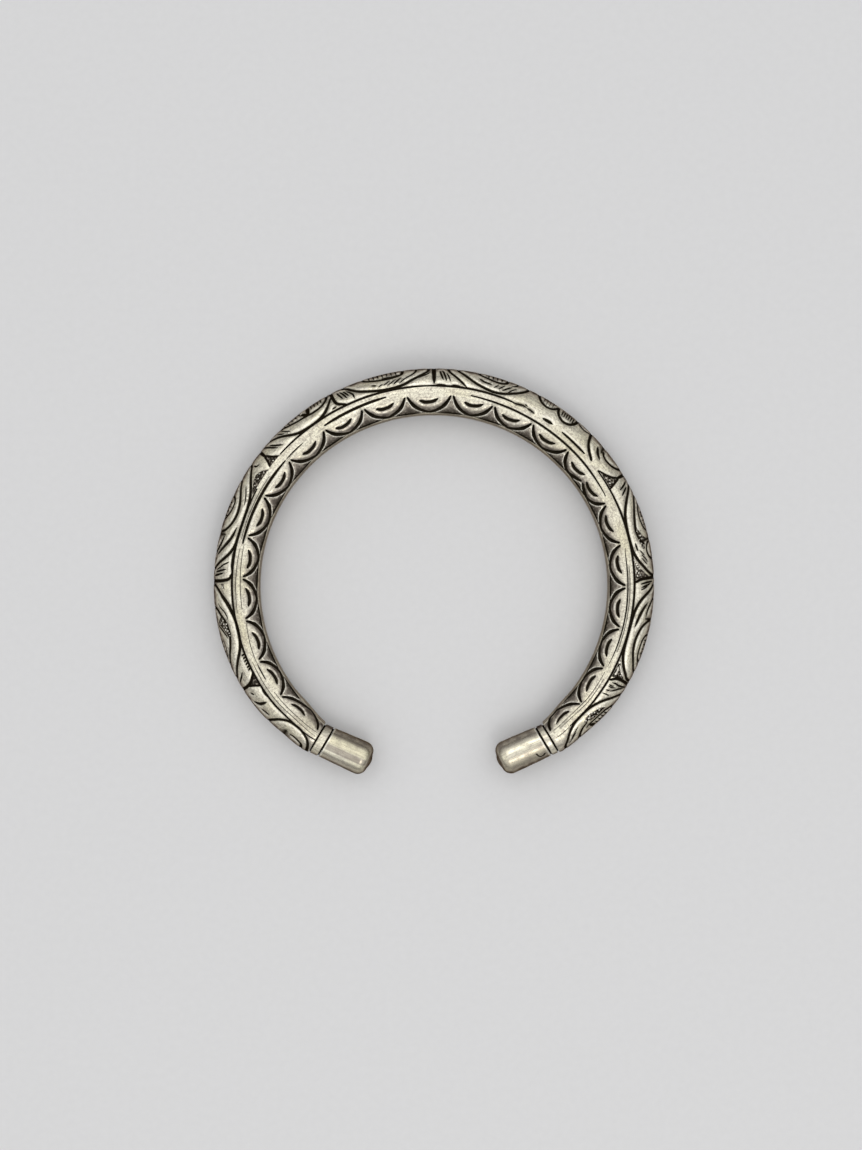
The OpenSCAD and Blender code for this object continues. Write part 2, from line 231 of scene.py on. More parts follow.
# Cuts of the leaf band and the rib: kind, then the places that the cut passes through
CUTS = [
    ("leaf", (-142, 90), (-141.9, 67), (-141.5, 46), (-140.4, 29), (-138.1, 17.5), (-135.6, 15.5),
     (-133.1, 20), (-131, 36), (-129.8, 57), (-129.4, 75), (-129.4, 90)),
    ("inner", (-140.2, 90), (-140, 67), (-139.1, 57), (-137.1, 51.5), (-136, 53)),
    ("block", (-134.5, 90), (-134.5, 70), (-134.4, 53)),
    ("line", (-128.3, 52.5), (-127, 56.5), (-125.8, 61)),
    ("bold", (-123, 68), (-123.6, 60), (-124.4, 49.7), (-125.1, 29)),
    ("cut", (-121.4, 47), (-120.5, 56)),
    ("stem", (-118.6, 90), (-118.6, 60), (-118.3, 42), (-117.5, 28), (-115.9, 15)),
    ("leg", (-118.8, 48), (-119.1, 34), (-120.1, 17)),
    ("cut", (-116.7, 80), (-116.1, 63), (-115.4, 52), (-114.4, 42)),
    ("leaf", (-115, 90), (-114.9, 75), (-114.2, 64), (-112.8, 52), (-110.7, 36), (-108.4, 22), (-106, 14.5),
     (-103, 11.5), (-100.5, 12.5), (-98, 17), (-95.5, 24.5), (-93, 38), (-90.9, 52), (-89.7, 67),
     (-89.3, 90)),
    ("broad", (-91.8, 46), (-93.4, 35.5), (-95.2, 25.5), (-97.5, 18), (-99.2, 14)),
    ("fine", (-94.6, 60), (-96, 50), (-96.9, 41.5), (-98.3, 35), (-99.6, 32)),
    ("inner", (-111.1, 90), (-110.9, 75), (-109.8, 63.6), (-107.3, 48), (-105.1, 39.5), (-102.8, 36),
     (-100.3, 39.5), (-98.2, 49.7), (-96, 66), (-95.5, 90)),
    ("cut", (-100.3, 80), (-100.9, 70), (-101.8, 60), (-103.2, 51), (-104.4, 45.5)),
    ("hair", (-98.2, 50), (-98.8, 58), (-100.1, 73)),
    ("hair", (-104.1, 71.5), (-105.5, 67), (-106.7, 66), (-108.3, 70.7), (-109.4, 78)),
    ("stem", (-88.6, 90), (-88.6, 50), (-88.4, 32), (-87.9, 20), (-86.6, 14)),
    ("cut", (-87.2, 72), (-86.9, 54), (-86.4, 37)),
    ("cut", (-86.2, 64), (-85.8, 47), (-85.3, 30)),
    ("hair", (-85.6, 62), (-85, 50), (-84.4, 40)),
    ("hair", (-84.5, 46), (-83.9, 35), (-83.2, 24)),
    ("leaf", (-85.5, 90), (-85.4, 76), (-84.7, 64), (-83.5, 50), (-81.8, 33), (-80.1, 22), (-77.5, 14.5),
     (-72.5, 12.5), (-68.5, 13), (-66, 15), (-63.1, 22), (-60.6, 34), (-58.1, 50), (-56.5, 64), (-56.1, 90)),
    ("bold", (-81.8, 67), (-80.1, 51), (-78, 36.5), (-76, 27.5), (-73.2, 22)),
    ("inner", (-81.2, 90), (-81, 78), (-80.1, 67), (-78.5, 57), (-76.7, 51)),
    ("wedge", (-76.1, 90), (-76.1, 70), (-76, 51)),
    ("inner", (-75.4, 72), (-74.8, 54), (-73.3, 42), (-71.5, 35.5), (-69.7, 33), (-67.2, 35.5), (-64.8, 44.5),
     (-62.7, 56.6), (-61.2, 68), (-60.8, 90)),
    ("line", (-72.3, 90), (-71.6, 68), (-69.5, 55.5), (-67.2, 53.5), (-65.9, 62), (-65.5, 90)),
    ("hair", (-66.6, 24), (-64, 32), (-61.8, 44)),
    ("cut", (-56, 58), (-55.8, 49), (-54.8, 45.5)),
    ("stem", (-52.2, 90), (-52.2, 66), (-52.2, 44)),
    ("leg", (-52.4, 48), (-52.8, 32), (-53.7, 17)),
    ("leg", (-52, 48), (-51.1, 31), (-49.6, 17.5)),
    ("cut", (-50.8, 88), (-50.2, 66), (-49.3, 49), (-48.2, 34)),
    ("cut", (-49.2, 60), (-48.2, 45), (-46.6, 29.5)),
    ("leaf", (-48.6, 90), (-48.4, 76), (-47.5, 66), (-45.4, 50), (-43.3, 34.5), (-41.5, 25), (-39, 20),
     (-36, 18.5), (-33.4, 21.5), (-31.3, 30.5), (-29.8, 43), (-28.6, 57)),
    ("inner", (-44.3, 90), (-44.1, 78), (-43.1, 68), (-41.7, 60), (-39.6, 53), (-37.5, 50), (-36, 47.5),
     (-34.6, 45.5), (-32.1, 48), (-30.5, 56.6), (-29.6, 70), (-29.5, 90)),
    ("broad", (-35.4, 84), (-35.5, 66), (-35.9, 49)),
    ("broad", (-37.5, 65), (-37, 57), (-36.4, 50)),
    ("hair", (-44.4, 70), (-43.6, 56), (-42.6, 43)),
    ("hair", (-45.7, 74), (-45, 60), (-44.2, 52)),
    ("stem", (-28.1, 90), (-28.1, 60), (-28, 38), (-27.4, 29.5), (-25.7, 21)),
    ("cut", (-29.6, 25), (-28.2, 27)),
    ("cut", (-26.6, 68), (-26.2, 52), (-25.7, 38)),
    ("cut", (-25.8, 66), (-25.2, 52), (-24.6, 35)),
    ("cut", (-24.9, 62), (-24.4, 50), (-23.9, 39)),
    ("cut", (-24.1, 58), (-23.3, 47), (-22.7, 37), (-22.7, 26)),
    ("leaf", (-24.7, 90), (-24.6, 78), (-23.8, 66), (-22.6, 51), (-20.9, 39), (-18.4, 30.5), (-15.9, 25),
     (-13.4, 23), (-10.9, 23.5), (-8.4, 27.5), (-6.4, 36), (-4.3, 46), (-2.6, 57), (-1.5, 70), (-1.3, 90)),
    ("inner", (-19.4, 90), (-18.9, 76), (-18, 65), (-16.3, 58), (-14.3, 54), (-11.8, 53), (-9.7, 57),
     (-8.5, 66), (-8.3, 90)),
    ("cut", (-17.2, 44.5), (-15.9, 40)),
    ("hair", (-15.4, 34.5), (-14.1, 41)),
    ("hair", (-13.9, 36), (-12.1, 46)),
    ("broad", (-13.8, 58), (-11.2, 55.5), (-8.8, 61)),
    ("hair", (-12.8, 33), (-10.4, 47)),
    ("cut", (-11.2, 33), (-8.9, 50)),
    ("hair", (-9.6, 33), (-7.1, 51)),
    ("cut", (-8.5, 42), (-5.9, 57), (-4.8, 74), (-4.7, 90)),
    ("cut", (-0.9, 66), (-1.9, 55), (-3.4, 48), (-5, 43)),
    ("broad", (0, 90), (0, 60), (0.1, 26)),
    ("cut", (1.6, 72), (2, 53), (2.6, 36)),
    ("cut", (2.3, 76), (2.9, 53), (3.5, 34)),
    ("hair", (3.4, 62), (4.1, 46), (4.6, 33)),
    ("line", (3.5, 90), (4.2, 67), (5.9, 48), (7.6, 34), (9.3, 21)),
    ("leaf", (6.5, 90), (6.6, 78), (7.4, 65), (9.2, 50), (11.7, 36), (14.6, 27.5), (17.1, 24.6), (19.6, 28),
     (22.1, 37.5), (24.2, 51), (25.4, 68), (25.7, 90)),
    ("inner", (12, 90), (12.1, 80), (12.9, 70), (14.6, 62), (16.7, 57), (18.6, 58), (19.7, 68), (19.9, 90)),
    ("line", (12.3, 54.5), (13.8, 46.5), (15.8, 44)),
    ("hair", (16.7, 37), (17.7, 49)),
    ("hair", (18, 37), (19.4, 54)),
    ("cut", (19.1, 35), (21.3, 57)),
    ("hair", (20.7, 36), (22.6, 58)),
    ("cut", (21.2, 60), (22.4, 75), (22.6, 90)),
    ("inner", (28.8, 90), (28.9, 76), (29.3, 63), (30.2, 52.5), (31.9, 47), (33.5, 51), (34.5, 62),
     (34.8, 76)),
    ("inner", (35, 76), (35.1, 62), (35.7, 48), (37.1, 39), (38.5, 37.5), (40, 44.5), (40.8, 60), (41, 90)),
    ("line", (41.5, 73), (42.7, 64), (44.1, 63), (45.4, 71)),
    ("leaf", (45.8, 90), (45.9, 68), (46.4, 50), (47.2, 37), (48.7, 25.5), (51, 15)),
    ("bold", (49.4, 54.5), (50.5, 41), (52.4, 31.5)),
    ("wedge", (50.7, 90), (50.7, 70), (51.2, 51)),
    ("inner", (51.5, 58), (52.2, 49), (53.8, 45.5), (55.9, 50), (57.4, 63.6), (57.9, 90)),
    ("stem", (59.4, 90), (59.4, 66), (59.3, 44)),
    ("leg", (59.2, 48), (58.6, 35), (57, 23), (54.6, 13)),
    ("leg", (59.5, 48), (60.1, 30), (60.9, 13)),
    ("cut", (61.1, 68), (61.8, 51), (62.5, 33)),
    ("cut", (62.5, 56), (63.3, 43), (64.1, 32)),
    ("leaf", (61.9, 90), (62, 78), (62.8, 66), (64.2, 50), (65.9, 36), (68, 24), (70.4, 16), (73.8, 11.5),
     (77.1, 11), (80, 13.5), (82.5, 22), (84.6, 36), (86.2, 50), (87, 66), (87.1, 90)),
    ("inner", (65.2, 90), (65.3, 78), (66, 66), (67.5, 55), (70, 43), (72.9, 34.5), (74.8, 32.5), (77, 36.5),
     (78.3, 48)),
    ("line", (67.5, 90), (68.1, 74), (69.6, 60.5), (71.7, 56), (73.8, 60), (74.9, 70), (75.1, 90)),
    ("sliver", (77.4, 90), (77.4, 72), (77.4, 52)),
    ("line", (78, 76), (78.4, 61), (79.7, 53.5), (81.3, 55), (82.5, 67), (82.8, 90)),
    ("cut", (77.9, 23), (80.1, 25.5)),
    ("hair", (80.1, 32), (81.6, 43)),
    ("hair", (81.3, 35), (83.3, 52)),
    ("hair", (82.2, 33), (84.1, 48.5)),
    ("stem", (87.6, 90), (87.7, 58), (88.1, 28), (88.9, 12)),
    ("cut", (88.7, 66), (89, 43), (89.5, 25)),
    ("cut", (89.3, 56), (89.9, 40), (90.4, 28)),
    ("hair", (90.1, 46), (91.1, 27)),
    ("leaf", (89.4, 90), (89.5, 76), (90.1, 65), (91.3, 52), (92.9, 36), (95, 22.5), (98, 13.5), (102, 10.5),
     (106, 10), (108.9, 12), (111.4, 18.5), (113.5, 30.5), (115.1, 46), (116, 60), (116.2, 90)),
    ("bold", (94.3, 50), (96.2, 38), (98.5, 29), (101.7, 22)),
    ("line", (93.1, 90), (93.3, 78), (93.9, 67), (95.4, 57), (97, 51), (98.4, 50)),
    ("sliver", (98.7, 90), (98.8, 70), (98.9, 50)),
    ("inner", (99.1, 76), (99.5, 60), (101, 44), (103.5, 35), (106, 33), (108.5, 37.5), (110.5, 47),
     (112.4, 60), (113.3, 76), (113.4, 90)),
    ("line", (102.8, 90), (103.3, 68), (104.7, 57.5), (106.8, 55), (108.9, 58), (110.2, 68), (110.5, 90)),
    ("stem", (117.2, 90), (117, 60), (116.9, 40), (117.2, 26), (118.2, 13.5)),
    ("cut", (118.1, 86), (118.4, 60), (118.6, 44), (118.5, 31), (118.7, 22)),
    ("cut", (118.7, 68), (119.3, 53), (120, 44), (121.1, 30.5)),
    ("hair", (119.3, 32), (119.6, 26), (119.6, 17.5)),
    ("hair", (119.6, 38), (120, 29), (120.1, 19)),
    ("hair", (121.1, 29), (121.3, 18)),
    ("hair", (122.3, 36), (122.4, 27), (122.6, 17)),
    ("leaf", (120.3, 90), (120.5, 78), (121.1, 63), (122.2, 50.5), (124.1, 33), (126, 22), (128, 14.8),
     (129.8, 12), (131.6, 11.5), (133.3, 12.6), (135.2, 16.5), (137.4, 29), (139.2, 49), (140.4, 67),
     (140.7, 90)),
    ("inner", (124, 90), (124.3, 78), (125.1, 67), (126.2, 60), (127.9, 56), (129.9, 53.5), (131.4, 53)),
    ("broad", (131.1, 86), (131.2, 68), (131.7, 54)),
    ("blot", (130.6, 54), (132.2, 56), (133, 60)),
    ("inner", (132.1, 41), (134, 47), (135.4, 60), (135.9, 74), (136, 90)),
    ("hair", (135.8, 42), (137.6, 55), (139.1, 70)),
    ("hair", (134.6, 32), (136.6, 43), (138.2, 56)),
    ("border", (-142.4, 15.5), (-136, 15), (-130, 14.5), (-120, 14.5), (-110, 13.5), (-100, 13), (-88.5, 13),
     (-80, 13.5), (-70, 12.5), (-61, 14)),
    ("border", (-48.9, 18), (-40, 18), (-28, 18.5), (-15, 19), (0, 19.5)),
    ("border", (-3, 19.4), (10, 19), (18, 18), (23.4, 16.5)),
    ("line", (-124, 16.5), (-122.6, 17), (-121.2, 16.5)),
    ("line", (0.8, 22), (2, 21.5), (3.6, 20)),
    ("line", (5.2, 22.5), (6.2, 21.5), (7.6, 20)),
    ("line", (-85.5, 15), (-82.5, 15.5), (-79.5, 15)),
    ("blot", (23.3, 16), (24.6, 17), (25.9, 19.5), (27.1, 18.5)),
    ("blot", (27.5, 18), (28.5, 17), (29.8, 14.5)),
    ("hair", (26.4, 24.5), (27.3, 22.5)),
    ("bold", (32.6, 14.5), (34.4, 15.5), (36, 15.5)),
    ("border", (39.5, 14), (43.5, 13.2), (48.3, 13)),
    ("border", (54.6, 11.5), (65, 11), (80, 10.2), (90, 9.5), (100, 9), (113, 8.7), (118, 9), (123, 9.4),
     (128, 10.2), (136, 12.5)),
    ("faint", (136.5, 13.5), (141.5, 17)),
    ("furrow", (-77.2, -2), (-63, -2), (-49.5, -2)),
    ("fine", (-49, -1.5), (-42, -1.5)),
    ("furrow", (-33.9, 0.3), (-25, 1.7), (-14.2, 4.4)),
    ("rib", (10.9, 2.8), (20, 0.3), (35, -2), (50, -3.3), (62, -5.8)),
    ("fine", (78.6, -4.3), (82, -6.8), (98, -6.8), (108, -8), (115, -9.8)),
    ("faint", (117, -10), (128, -9.5), (141, -8)),
    ("fine", (-119.6, -6), (-114.2, -6)),
    ("faint", (-114.2, -6), (-110.9, -6.5), (-106, -9.5), (-101.5, -13)),
    ("faint", (-142, 5), (-128, 4.2), (-113, 3.5)),
    ("faint", (-142, -8), (-134, -8), (-124, -6.5)),
    ("faint", (-98, 4.6), (-89, 3.6), (-79, 2.6)),
    ("faint", (-97, -8.5), (-88, -7.5), (-78, -5.5)),
    ("faint", (-76, 4), (-66, 4.6), (-56, 5.6)),
    ("faint", (84, -1), (97, -1.6), (110, -2.5)),
    ("faint", (119, -3), (129, -2.5), (139, -1.5)),
]
# Rows of short cuts: kind, angles, how far each leans along the bar, and where they start and end
HATCHES = [
    ("fine", (36.3, 37, 37.7, 38.4, 39.1, 39.8), 0.2, 86, 52),
    ("cut", (-114.7, -113.9, -113, -112.1, -111.2, -110.3), 0.5, 23, 15.5),
    ("hair", (2.2, 2.9, 7.2, 8), -0.4, 22.5, 19.5),
    ("fine", (-43.2, -42, -40.8, -39.6, -38.4), 0.5, 90, 66),
    ("fine", (-34.2, -33.2, -32.2, -31.2), -0.2, 90, 62),
    ("fine", (-17.6, -16.4, -15.2, -14, -12.8, -11.6, -10.4), 0.3, 90, 66),
    ("fine", (14.4, 15.6, 16.8, 18), 0.3, 90, 67),
    ("faint", (30.5, 31.4, 32.3, 33.2), 0.1, 90, 56),
    ("fine", (-71.2, -70, -68.8, -67.6), 0.3, 90, 66),
    ("fine", (70, 71.1, 72.2, 73.3), 0.2, 90, 67),
    ("fine", (104.4, 105.6, 106.8, 108), 0.2, 90, 68),
    ("fine", (-109.2, -107.9, -106.6, -105.3), 0.4, 90, 78),
    ("fine", (126.4, 127.5, 128.6, 129.7), 0.4, 90, 64),
]

# Sunk and stippled grounds: how deep, how dark, then the corners
GROUNDS = [
    (0.09, 0.95, (-118.7, 54), (-119.2, 36), (-120.1, 17), (-116.3, 16.5), (-117.4, 30), (-118.2, 46)),
    (0.09, 0.95, (-98, 50.5), (-98.7, 58), (-99.9, 71), (-100.6, 72.5), (-101.6, 60), (-102.8, 53),
     (-104, 47.5), (-104.8, 42.5), (-103.7, 37.5), (-102.3, 37.5), (-100.8, 40), (-99.3, 44.5)),
    (0.09, 0.9, (-91.2, 34), (-89.4, 36), (-89.4, 48)),
    (0.1, 1, (-63.4, 16.5), (-61.6, 26), (-59.8, 34), (-57.8, 38), (-56.2, 32), (-55, 23), (-54.2, 16.5)),
    (0.09, 0.95, (-52.6, 50), (-52.9, 34), (-53.6, 17.5), (-49.7, 18), (-50.7, 27), (-51.8, 44)),
    (0.09, 1, (59.1, 48), (58.6, 35), (57.4, 24), (55, 14), (60.9, 13.5), (60.3, 26), (59.7, 44)),
    (0.09, 1, (72.9, 38.5), (75.2, 36), (77.8, 36.5), (79.8, 42), (79.9, 52), (78.3, 53), (77.8, 64),
     (77, 66), (76.2, 53), (74.6, 44)),
    (0.09, 0.95, (87.3, 58), (86.5, 43), (85, 28), (82.9, 15), (88.4, 12.5), (87.9, 28), (87.6, 48)),
    (0.1, 1.35, (116.3, 52), (115.5, 39), (113.9, 25), (111.4, 12.5), (117.3, 12.5), (116.9, 28),
     (116.6, 46)),
    (0.08, 1.2, (125.3, 56), (126.2, 43), (127.6, 34.5), (129.2, 28), (131.2, 26.5), (132.4, 34), (132.2, 42),
     (130, 51), (127, 54)),
]

# Dots of bright metal left proud in and beside the grounds: angle, round and half width
DOTS = [
    (125.7, 45, 0.16), (126.1, 38, 0.21), (127.1, 34, 0.18), (127.1, 43, 0.17), (128.1, 48, 0.12),
    (128.5, 36, 0.17), (129, 29, 0.19), (129.8, 25, 0.2), (130.1, 31.5, 0.12), (130.7, 36, 0.2),
    (131.8, 34.5, 0.19), (131.2, 43, 0.15), (129.6, 43, 0.12), (125.5, 51, 0.12),
    (-99.4, 53.5, 0.14), (-99.9, 60, 0.11), (-100.4, 52, 0.13), (-100.5, 44.5, 0.14), (-101.4, 45, 0.12),
    (-101.2, 53, 0.12), (-102, 49, 0.13), (-102.4, 43.5, 0.13), (-103.1, 41.5, 0.11), (-103.8, 41.5, 0.1),
    (-100.2, 67, 0.1),
    (74.7, 38.5, 0.09), (76.1, 44, 0.12), (77, 48.5, 0.1), (77.2, 40, 0.13), (78.3, 43, 0.14),
    (78.8, 49, 0.11), (77.2, 57, 0.1), (79.3, 45, 0.1),
    (82.5, 13.2, 0.11), (83.2, 15.4, 0.13), (83.9, 18, 0.14), (84.5, 21, 0.13), (85.1, 24, 0.1),
    (85.7, 17, 0.12), (86.3, 22, 0.13), (86.2, 14.5, 0.13), (87.1, 18.5, 0.11), (86.9, 27, 0.09),
    (112.6, 14.5, 0.22), (115.9, 34, 0.1),
    (58.6, 24, 0.09), (59.4, 20, 0.12), (59.7, 28, 0.08), (57.6, 19, 0.09),
    (-58.3, 26, 0.09), (-57, 31, 0.09), (-60.4, 24, 0.08), (-55.9, 23, 0.08), (-51.7, 22, 0.1),
    (-90.3, 40, 0.12),
]
# Radius of a dot's top and of its foot, as shares of its half width
DOT_TOP = 0.8
DOT_FOOT = 1.3
# Strokes of bright metal left proud in a ground: the places that each passes through
RIDGES = [
    [(113.3, 18), (114.1, 25), (114.8, 31), (115.6, 40)],
    [(113.9, 16.5), (114.6, 18.5), (115.3, 19.3), (116.1, 19)],
]
# How far dots and strokes stand above their ground, and where a stroke falls off, as shares of its half width
PROUD_RISE = 0.06
STROKE_FALL = (0.5, 1.2)

# Stains: angle, round, half length in degrees, half width in millimetres, then how olive and how brown
STAINS = [
    (44, 5, 10, 2.3, 0.9, 0), (-103, 5, 11, 1.8, 0.9, 0), (76, -3, 9, 2, 0.8, 0), (-62, 0, 7, 1.4, 0.6, 0),
    (8, 5, 8, 1.2, 0.5, 0), (134, 6, 5, 1.6, 0.5, 0), (-136, -8, 5.5, 2.6, 0, 0.28),
    (19, 62, 15, 1.6, 0, 0.3), (54, -40, 3.6, 1, 0, 0.45), (-20, 50, 8, 1.2, 0, 0.15),
    (100, 60, 8, 1.2, 0, 0.18),
]
# Where a stain starts to fade and where it ends, as shares of its half length and half width
STAIN_FALL = (0.25, 1.0)

# Scallops: the angle and round of each point between two of them, and the angle of the dash inside the
# scallop that starts there
SCALLOPS = [
    (-142, -16, -132.8), (-126.1, -16.5, -119.5), (-113.4, -16, -107.2), (-100.3, -15, -93.4),
    (-87.5, -15.5, -81.6), (-74.9, -12.5, -68.2), (-61.8, -13, -55), (-48.6, -12, -41.6),
    (-34.8, -11.5, -28.7), (-21.6, -10, -15), (-8.3, -7, -1.5), (5.4, -5.5, 12.2), (18.2, -11, 24.3),
    (31, -12, 37.2), (44.2, -13, 50.4), (54.5, -36, 58.2), (64.3, -16.5, 70.2), (77.1, -15.5, 83.3),
    (90.2, -15, 97), (102.9, -17, 109.7), (115.9, -20, 122.2), (129, -16.5, 136.2), (142.2, -13, None),
]
# Gap between two neighbouring scallops at their point, and how far the bottoms of the two scallops at the
# hoop's ends lie towards its ends
POINT_GAP = 0.46
END_SKEW = 1.6
# Round of the scallops' bottoms: where they are highest, how high, and how fast they fall off to both sides
BOTTOM_ANGLE = -8
BOTTOM_ROUND = -51.2
BOTTOM_FALL = 0.00066
# A dash: half its angle, how far it lies below the higher one of its scallop's two points, and how far its
# ends curve up and its right end leans up
DASH_HALF = 2.7
DASH_DROP = 15.5
DASH_CURVE = 6.5
DASH_LEAN = 2
# The cut under a point: half its angle, how far it lies below the scallops' bottoms, and how far its ends
# curve up
BASE_HALF = 4.7
BASE_DROP = 5.2
BASE_CURVE = 1.8

# How the bar looks from above, as the chart was read: angle from the back, the middle's distance from the
# hoop's centre, and half the bar's width. A place on the chart is on an oval, this much flatter than round.
SEEN = ((0, 35.51, 4.25), (30, 35.64, 4.27), (60, 35.86, 4.31), (90, 35.93, 4.16), (110, 35.77, 4.02),
        (120, 35.59, 3.83), (130, 35.31, 3.52), (142, 34.86, 3.18))
SEEN_FLAT = 0.99
# From this round on a place is on the bar's outermost line. The others are looked for in so many steps
OUTERMOST = 89
LOOK_STEPS = 400
# Relief is lower near the bar's outermost line and its wall: its share there, and how it changes across
CALM = 0.30
CALM_REACH = (0.2, 2.4)
CALM_INSIDE = 0.35
CALM_INSIDE_REACH = (9.5, 11.0)
# Arcs stay this far from the wall, and the cuts under their points nearly as far; the round end has room
ARC_LIMIT = 10.95
BASE_LIMIT = 11.15
ROUND_ROOM = 0.65


def calm(t):
    """The share of its depth that relief keeps at a distance across."""
    outside = CALM + (1 - CALM) * smooth(*CALM_REACH, t)
    return outside * (1 - (1 - CALM_INSIDE) * smooth(*CALM_INSIDE_REACH, t))


def chart(places, sunk=0.0):
    """Turns places on the chart into millimetres on the unrolled bar, as [along, across].
    A cut's bottom is sunk, and on a slope it would look shifted; its place allows for that."""
    angle, turn = np.array(places, float).T
    apart, *rows = zip(*SEEN)
    middle, half = (np.interp(np.abs(angle), apart, row) for row in rows)
    reach = middle + half * np.sin(np.radians(turn))
    t = np.linspace(0, T_END, LOOK_STEPS)
    across = []
    for a, r in zip(angle, reach):
        x, y, z = bar_surface(np.full_like(t, a), t, -sunk * calm(t), 1).T / MM
        look = np.hypot(x, (y - HOOP_Y) / SEEN_FLAT) * CAMERA_H / (CAMERA_H - z + HOOP_Z)
        first = int(np.argmax(look))
        last = first + int(np.argmin(look[first:])) + 1
        across.append(np.interp(-r, -look[first:last], t[first:last]))
    return np.stack([angle * ALONG, np.where(turn > OUTERMOST, 0, across)], -1)


# A curve is worked out at this many points for each of its places, and then spaced evenly
CURVE_POINTS = 12


def curve_through(points, step):
    """A smooth curve through the points, resampled at about an even step."""
    if len(points) > 2:
        p = np.vstack([2 * points[0] - points[1], points, 2 * points[-1] - points[-2]])
        u = np.linspace(0, 1, CURVE_POINTS, endpoint=False)[:, None]
        dense = []
        for i in range(1, len(p) - 2):
            a, b, c, d = p[i - 1:i + 3]
            dense.append(b + u / 2 * (c - a + u * (2 * a - 5 * b + 4 * c - d + u * (3 * (b - c) + d - a))))
        points = np.vstack(dense + [points[-1:]])
    run = np.concatenate([[0], np.cumsum(np.linalg.norm(np.diff(points, axis=0), axis=1))])
    count = max(3, int(round(run[-1] / step)) + 1)
    even = np.linspace(0, run[-1], count)
    return np.stack([np.interp(even, run, points[:, k]) for k in (0, 1)], -1)


# Where along a cut the five widths of its kind stand, and how much wider the whole cut is than its
# darkened middle
WIDTHS_AT = (0, 0.17, 0.5, 0.83, 1)
CUT_SPREAD = 1.3
# Spacing of the points along a cut, and along one that is thinner all the way than this
CUT_STEP = 0.21
THIN_STEP = 0.17
THIN = 0.2
# Metal beside a cut rolls down to it: by this share of the cut's depth, over this width, less at dashes
ROLL = 0.45
ROLL_W = 0.44
NARROW_ROLL_W = 0.27
# The rounded edge above the wall has no roll, from these distances across
NO_ROLL = (10.5, 11.1)


class Cut:
    """One cut on the unrolled bar: its path, half its width along the path, its depth and darkness."""

    def __init__(self, kind, places, more_sunk=0.0, limit=T_END):
        row = KINDS[kind]
        widths = row[:5]
        self.depth = row[5]
        self.dark = row[6]
        self.roll_w = NARROW_ROLL_W if kind == "smile" else ROLL_W
        step = THIN_STEP if max(widths) < THIN else CUT_STEP
        marked = chart(places, self.depth * (1 + ROLL) + more_sunk)
        marked[:, 1] = np.minimum(marked[:, 1], limit + ROUND_ROOM * rounding(marked[:, 0] / ALONG))
        self.path = curve_through(marked, step)
        u = np.linspace(0, 1, len(self.path))
        self.half = np.interp(u, WIDTHS_AT, widths) * CUT_SPREAD / 2
        self.path[:, 1] = np.clip(self.path[:, 1], 0, T_END)

    def rows(self):
        """The cut's two edges and its middle, as polylines to build the mesh on."""
        ahead = np.gradient(self.path, axis=0)
        side = unit(np.stack([-ahead[:, 1], ahead[:, 0]], -1)) * self.half[:, None]
        tips = unit(ahead[[0, -1]]) * self.half[[0, -1], None] * [[-1], [1]] + self.path[[0, -1]]
        outline = np.vstack([tips[:1], self.path + side, tips[1:], (self.path - side)[::-1], tips[:1]])
        outline[:, 1] = np.clip(outline[:, 1], 0, T_END)
        return [outline, self.path]


def scallop_bottom(angle):
    """Round of the scallops' bottoms at an angle."""
    return BOTTOM_ROUND - BOTTOM_FALL * (angle - BOTTOM_ANGLE) ** 2


# Each scallop is domed: how far it sinks towards its arc, and over what width
DOME = 0.10
DOME_W = 1.1
# How deep the corners between two scallops are sunk
CORNER_SINK = 0.11
# A scallop's arc has this many stretches
ARC_STEPS = 16


def arc_shape(u):
    """How high an arc is, from 0 at its bottom to 1 at its points, where u goes from 0 to 1."""
    return 0.8 * u ** 1.55 + 0.2 * u ** 8


def arc_places(a0, r0, a1, r1, skew):
    """Places on a scallop's arc, from the point at (a0, r0) to the one at (a1, r1)."""
    middle = (a0 + a1) / 2
    half = (a1 - a0) / 2 - POINT_GAP
    low = scallop_bottom(middle)
    places = []
    for k in range(ARC_STEPS + 1):
        u = -math.cos(math.pi * k / ARC_STEPS)
        top = r0 + (r1 - r0) * (1 + u) / 2
        places.append((middle + half * u + skew * (1 - u * u), low + (top - low) * arc_shape(abs(u))))
    return places


def dash_places(angle, low):
    """Places on the dash inside a scallop."""
    return [(angle + DASH_HALF * u, low + DASH_CURVE * abs(u) ** 2.5 + DASH_LEAN * u)
            for u in (-1, -0.5, 0, 0.5, 1)]


def base_places(angle):
    """Places on the cut under the point between two scallops."""
    low = scallop_bottom(angle) - BASE_DROP
    return [(angle + BASE_HALF * u, low + BASE_CURVE * u * u) for u in (-1, 0, 1)]


def scallop_cuts():
    """The scallops' arcs, and then the dashes inside them and the cuts under the points between them."""
    arcs = []
    others = []
    for (a0, r0, dash), (a1, r1, _) in zip(SCALLOPS, SCALLOPS[1:]):
        skew = END_SKEW * ((a1 == SCALLOPS[-1][0]) - (a0 == SCALLOPS[0][0]))
        arcs.append(Cut("scallop", arc_places(a0, r0, a1, r1, skew), DOME, ARC_LIMIT))
        others.append(Cut("smile", dash_places(dash, max(r0, r1) - DASH_DROP)))
    for angle, _, _ in SCALLOPS[1:-1]:
        others.append(Cut("base", base_places(angle), CORNER_SINK, BASE_LIMIT))
    return arcs, others


def leaf_cuts():
    """The cuts of the leaf band, the lines on top and the rows of hatching."""
    cuts = [Cut(kind, places) for kind, *places in CUTS]
    for kind, angles, lean, start, end in HATCHES:
        cuts += [Cut(kind, [(a, start), (a + lean, end)]) for a in angles]
    return cuts


def segment_distance(points, path):
    """Distance from each point to each stretch of a path, and how far along that stretch it is nearest."""
    a = path[:-1]
    d = path[1:] - a
    rel = points[:, None] - a[None]
    u = np.clip((rel * d).sum(-1) / np.maximum((d * d).sum(-1), 1e-12), 0, 1)
    return np.linalg.norm(rel - u[..., None] * d, axis=-1), u


